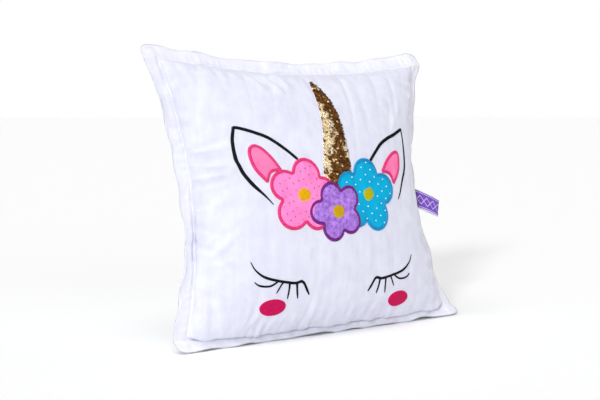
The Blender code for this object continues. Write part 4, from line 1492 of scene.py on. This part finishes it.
def seam_loop(side, out_cells):
    """Places and normals once round the border, a number of fine cells out from the seam."""
    edge = 2 * CELLS_BORDER - out_cells
    columns, rows = side.points.shape[:2]
    a, b = edge, columns - 1 - edge
    c, d = edge, rows - 1 - edge
    loop = [(i, c) for i in range(a, b)] + [(b, j) for j in range(c, d)]
    loop += [(i, d) for i in range(b, a, -1)] + [(a, j) for j in range(d, c, -1)]
    index = tuple(np.array(loop).T)
    return side.points[index], side.normals[index]


def stitch_body(start, end, normal, width, height):
    """One run of thread lying on the cloth: a rounded bar that dips in at both ends."""
    start, end, normal = Vector(start), Vector(end), Vector(normal)
    way = (end - start).normalized()
    side = way.cross(normal).normalized()
    points = []
    for share, level, wide in RUN_SECTIONS:
        middle = start.lerp(end, share) + normal * (level * height)
        for k in range(RUN_SIDES):
            angle = math.tau * k / RUN_SIDES
            aside = side * (math.cos(angle) * width / 2 * wide)
            above = normal * (math.sin(angle) * width / 2 * wide)
            points.append(tuple(middle + (aside + above)))
    faces = []
    for ring in range(0, len(points) - RUN_SIDES, RUN_SIDES):
        for k in range(RUN_SIDES):
            n = (k + 1) % RUN_SIDES
            faces.append((ring + k, ring + n, ring + RUN_SIDES + n, ring + RUN_SIDES + k))
    faces.append(tuple(reversed(range(RUN_SIDES))))
    faces.append(tuple(range(len(points) - RUN_SIDES, len(points))))
    return points, faces


def make_topstitch(front, thread):
    """Even stitches once round the seam that makes the flat border."""
    points, normals = seam_loop(front, 0)
    closed = np.concatenate([points, points[:1]])
    length = run_lengths(closed)
    count = int(length[-1] / TOPSTITCH_STEP)
    bodies = []
    for k in range(count):
        at = [(k + share) / count * length[-1] for share in TOPSTITCH_SHARES]
        ends = [[np.interp(a, length, closed[:, c]) for c in range(3)] for a in at]
        near = min(int(np.searchsorted(length, at[0])), len(normals) - 1)
        bodies.append(stitch_body(ends[0], ends[1], normals[near], *TOPSTITCH_SIZE))
    seam = finish_mesh("border_topstitch_thread", *joined(bodies), [thread])
    place_piece(seam, "cushion", "white_thread", "border_topstitch")


def make_closing_seam(back, thread):
    """The hand-sewn stretch low on the right, on the back of the border."""
    columns = back.points.shape[0]
    out = columns - 3
    bodies = []
    for j in range(CLOSING_START, CLOSING_START + CLOSING_CELLS, 2):
        start = back.points[out, j]
        end = back.points[out - 2, j + 1]
        bodies.append(stitch_body(start, end, back.normals[out - 1, j], *CLOSING_SIZE))
    seam = finish_mesh("closing_seam_thread", *joined(bodies), [thread])
    place_piece(seam, "cushion", "white_thread", "closing_seam")


def label_frame():
    """Root point, sewn-edge direction and length direction of the label, in the world."""
    step = outward(1, 0)
    places = []
    for up in (LABEL_HEIGHT - LABEL_EDGE_REACH, LABEL_HEIGHT, LABEL_HEIGHT + LABEL_EDGE_REACH):
        x, z = seam_place(np.array(1.0), np.array(up))
        point = np.array([float(x), 0.0, float(z)]) + step + step / np.linalg.norm(step) * LABEL_CLEARANCE
        places.append(Vector(stand_up(point)))
    edge = (places[2] - places[0]).normalized()
    level = Vector((math.cos(LABEL_TURN), math.sin(LABEL_TURN), 0.0)) * math.cos(LABEL_DROOP)
    along = level - Vector((0.0, 0.0, math.sin(LABEL_DROOP)))
    return places[1], edge, along


def label_material():
    """Purple woven satin with a pale frame and a generic row of diamonds, white along the selvedges."""
    mat = new_material("label_weave", (0.12, 0.035, 0.36), 0.5, Sheen_Weight=0.1)
    uv = add_node(mat, "ShaderNodeUVMap", uv_map="weave")
    split = add_node(mat, "ShaderNodeSeparateXYZ")
    link(mat, uv.outputs["UV"], split.inputs[0])

    def math_node(operation, a, b=None, c=None):
        node = add_node(mat, "ShaderNodeMath", operation=operation)
        for socket, value in zip(node.inputs, (a, b, c)):
            if value is None:
                continue
            if isinstance(value, (int, float)):
                socket.default_value = value
            else:
                link(mat, value, socket)
        return node.outputs[0]

    along, across = split.outputs["X"], split.outputs["Y"]
    aside = math_node("ABSOLUTE", across)
    selvedge = math_node("GREATER_THAN", aside, 0.0104)
    frame_line = math_node("COMPARE", aside, 0.0088, 0.0004)
    repeat = math_node("FRACT", math_node("MULTIPLY", along, 100.0))
    cell = math_node("ABSOLUTE", math_node("SUBTRACT", repeat, 0.5))
    reach = math_node("ADD", math_node("MULTIPLY", cell, 0.010), aside)
    diamond = math_node("COMPARE", reach, 0.0052, 0.0006)
    pale = math_node("MAXIMUM", frame_line, diamond)
    weave = add_node(mat, "ShaderNodeTexWave", wave_type="BANDS", bands_direction="X")
    weave.inputs["Scale"].default_value = 450.0
    weave.inputs["Distortion"].default_value = 1.5
    link(mat, uv.outputs["UV"], weave.inputs["Vector"])
    threads = math_node("MULTIPLY", weave.outputs["Fac"], 0.12)
    tone = math_node("ADD", math_node("MULTIPLY", pale, 0.55), threads)
    tone = math_node("MAXIMUM", tone, selvedge)
    set_color(mat, ramp(mat, tone, LABEL_TONES))
    set_bump(mat, [(weave.outputs["Fac"], 0.25, 0.0002)])
    return mat


def label_path():
    """Middle of the folded strip seen from its edge: out along one layer, round the fold and back."""
    path = []
    for k in range(LABEL_STEPS):
        share = k / LABEL_STEPS
        gap = 0.0008 + 0.0014 * math.sin(math.pi * share) ** 1.2
        path.append((share * (LABEL_LENGTH - LABEL_FOLD), gap))
    last_gap = path[-1][1]
    for k in range(LABEL_FOLD_STEPS + 1):
        angle = math.pi / 2 - math.pi * k / LABEL_FOLD_STEPS
        path.append((LABEL_LENGTH - LABEL_FOLD + LABEL_FOLD * math.cos(angle), last_gap * math.sin(angle)))
    path += [(x, -h) for x, h in reversed(path[:LABEL_STEPS])]
    return np.array(path)


def make_label(mat):
    """The woven label: one strip folded in two, its ends in the seam and its fold at the free end."""
    root, edge, along = label_frame()
    normal = along.cross(edge).normalized()
    across = normal.cross(along).normalized()
    path = label_path()
    length = run_lengths(path)
    way = np.gradient(path, axis=0)
    way /= np.linalg.norm(way, axis=-1, keepdims=True)
    out = np.stack([-way[:, 1], way[:, 0]], axis=-1) * LABEL_HALF_THICK
    rows = []
    uvs = []
    sewn = edge * (LABEL_WIDTH / 2 / edge.dot(across))
    free = (edge + across).normalized() * (LABEL_WIDTH / 2)
    for skin in (1.0, -1.0):
        for k, (x, h) in enumerate(path):
            share = min(1.0, x / LABEL_LENGTH)
            wide = sewn.lerp(free, share)
            bend = 0.0016 * math.sin(math.pi * share) - 0.0008 * share
            for c in range(LABEL_CELLS + 1):
                s = 2 * c / LABEL_CELLS - 1
                curl = 0.0010 * share * s * s
                px, ph = x + out[k][0] * skin, h + out[k][1] * skin
                rows.append(tuple(along * px + normal * (ph + bend + curl) + wide * s))
                uvs.append((length[k], s * LABEL_WIDTH / 2))
    faces = slab_faces(len(path), LABEL_CELLS + 1)
    points = [tuple(Vector(p) + root) for p in rows]
    label = mesh_object("label_woven_loop", points, faces, [mat])
    layer = label.data.uv_layers.new(name="weave")
    loops = np.zeros(len(label.data.loops), int)
    label.data.loops.foreach_get("vertex_index", loops)
    layer.data.foreach_set("uv", np.array(uvs)[loops].ravel())
    turn_outward(label)
    place_piece(label, "label", "purple_woven", "label")


# ---------------------------------------------------------------- assembly

make_camera()
make_studio()
front_chart = Chart(front_bulge, 1.0)
back_chart = Chart(back_bulge, -1.0)
front_start = stand_up(smooth_grid(front_chart))
back_start = stand_up(smooth_grid(back_chart))
front_moved, back_moved = simulate(front_start, back_start)
wander = border_wander(refined(flat_grid()), refined(front_start))
cover = Cover(front_chart, front_start, front_moved, 1.0, 3, wander)
back_cover = Cover(back_chart, back_start, back_moved, -1.0, 4, wander)
keep_apart(cover, back_cover)

plush = plush_material("white_plush_pile", (0.668, 0.666, 0.768), (0.598, 0.588, 0.706))
# The border's plush is a lighter copy of the white plush: painted light that lifts the shade falling on the
# border.
border_plush_painted_light = plush_material("painted_light_border_pile", (0.755, 0.750, 0.835), (0.685, 0.672, 0.780))
white_thread = thread_material("white_thread_twist", (0.86, 0.86, 0.93), (0.80, 0.80, 0.88))
lavender_thread = thread_material("lavender_thread_twist", (0.74, 0.68, 0.84), (0.60, 0.54, 0.74))
black_thread = thread_material("black_thread_twist", (0.006, 0.006, 0.010), (0.002, 0.002, 0.004),
                               0.6, 0.0, 0.12)
pink_plush = plush_material("pink_plush_pile", (0.97, 0.25, 0.57), (0.86, 0.17, 0.46), 0.12)
inner_pink = plush_material("inner_ear_pink_pile", (0.90, 0.19, 0.40), (0.80, 0.13, 0.33), 0.12)
pink_thread = thread_material("pink_thread_twist", (0.80, 0.04, 0.22), (0.62, 0.02, 0.14))
blue_plush = plush_material("blue_plush_pile", (0.0, 0.38, 0.64), (0.0, 0.31, 0.55), 0.0)
blue_thread = thread_material("blue_thread_twist", (0.0, 0.30, 0.60), (0.0, 0.21, 0.48))
velvet = velvet_material("purple_crushed_velvet", (0.46, 0.24, 0.74), (0.33, 0.15, 0.59), (0.22, 0.09, 0.44))
purple_thread = thread_material("purple_thread_twist", (0.20, 0.012, 0.25), (0.11, 0.006, 0.15))
orange_heart = thread_material("orange_thread_twist", (0.82, 0.45, 0.002), (0.70, 0.36, 0.002),
                               0.5, 0.0, 0.1)
gold_heart = thread_material("gold_thread_twist", (0.68, 0.42, 0.002), (0.56, 0.34, 0.002), 0.5, 0.0, 0.1)
olive_heart = thread_material("olive_thread_twist", (0.58, 0.52, 0.002), (0.48, 0.43, 0.002), 0.5, 0.0, 0.1)
cheek_thread = thread_material("cheek_thread_twist", (0.57, 0.005, 0.092), (0.45, 0.004, 0.068),
                               0.6, 0.0, 0.08)
sequin_backing = metal_material("horn_mesh", (0.24, 0.12, 0.04), (0.14, 0.07, 0.02), 0.6)
light_sequin = metal_material("light_gold_sequin", (1.0, 0.92, 0.72), (0.92, 0.68, 0.34), 0.30)
dark_sequin = metal_material("dark_gold_sequin", (0.30, 0.125, 0.03), (0.10, 0.038, 0.010), 0.28)
grey_glitter = metal_material("grey_glitter_dot", (0.42, 0.34, 0.40), (0.16, 0.08, 0.14), 0.35)
violet_glitter = metal_material("violet_glitter_dot", (0.70, 0.62, 0.80), (0.20, 0.10, 0.30), 0.35)
white_dot = thread_material("white_print_dot", (0.80, 0.92, 0.96), (0.66, 0.82, 0.90), 0.4, 0.0)

make_covers(cover, back_cover, plush, border_plush_painted_light)
make_topstitch(cover, white_thread)
make_closing_seam(back_cover, white_thread)
make_horn_backing(sequin_backing)
make_sequins(light_sequin, dark_sequin)
make_horn_edge(lavender_thread)
make_flower("pink", pink_plush, pink_thread, orange_heart, 420.0)
make_flower("blue", blue_plush, blue_thread, olive_heart, 380.0)
make_flower("purple", velvet, purple_thread, gold_heart, 620.0)
for name, step, turn, radius, jitter, seed, mat in (
    ("pink", (0.0082, 0.0088), 24.0, 0.00080, 0.0012, 21, grey_glitter),
    ("blue", (0.0108, 0.0112), -56.0, 0.00092, 0.0, 22, white_dot),
    ("purple", (0.0078, 0.0084), 10.0, 0.00050, 0.0015, 23, violet_glitter),
):
    dots = flower_dots(f"{name}_flower_dots", FLOWERS[name], step, turn, radius, jitter, seed, mat)
    place_piece(dots, "cushion", FLOWER_SLOTS[name][0])
for side in ("left", "right"):
    make_ear(side, black_thread, inner_pink, pink_thread)
    make_eye(side, black_thread)
    cheek = filled_disc(f"{side}_cheek_stitches", CHEEKS[side], CHEEK_HALF, 0, CHEEK_THICK, cheek_thread)
    place_piece(cheek, "cushion", "cheek_thread", f"{side}_cheek")
make_label(label_material())
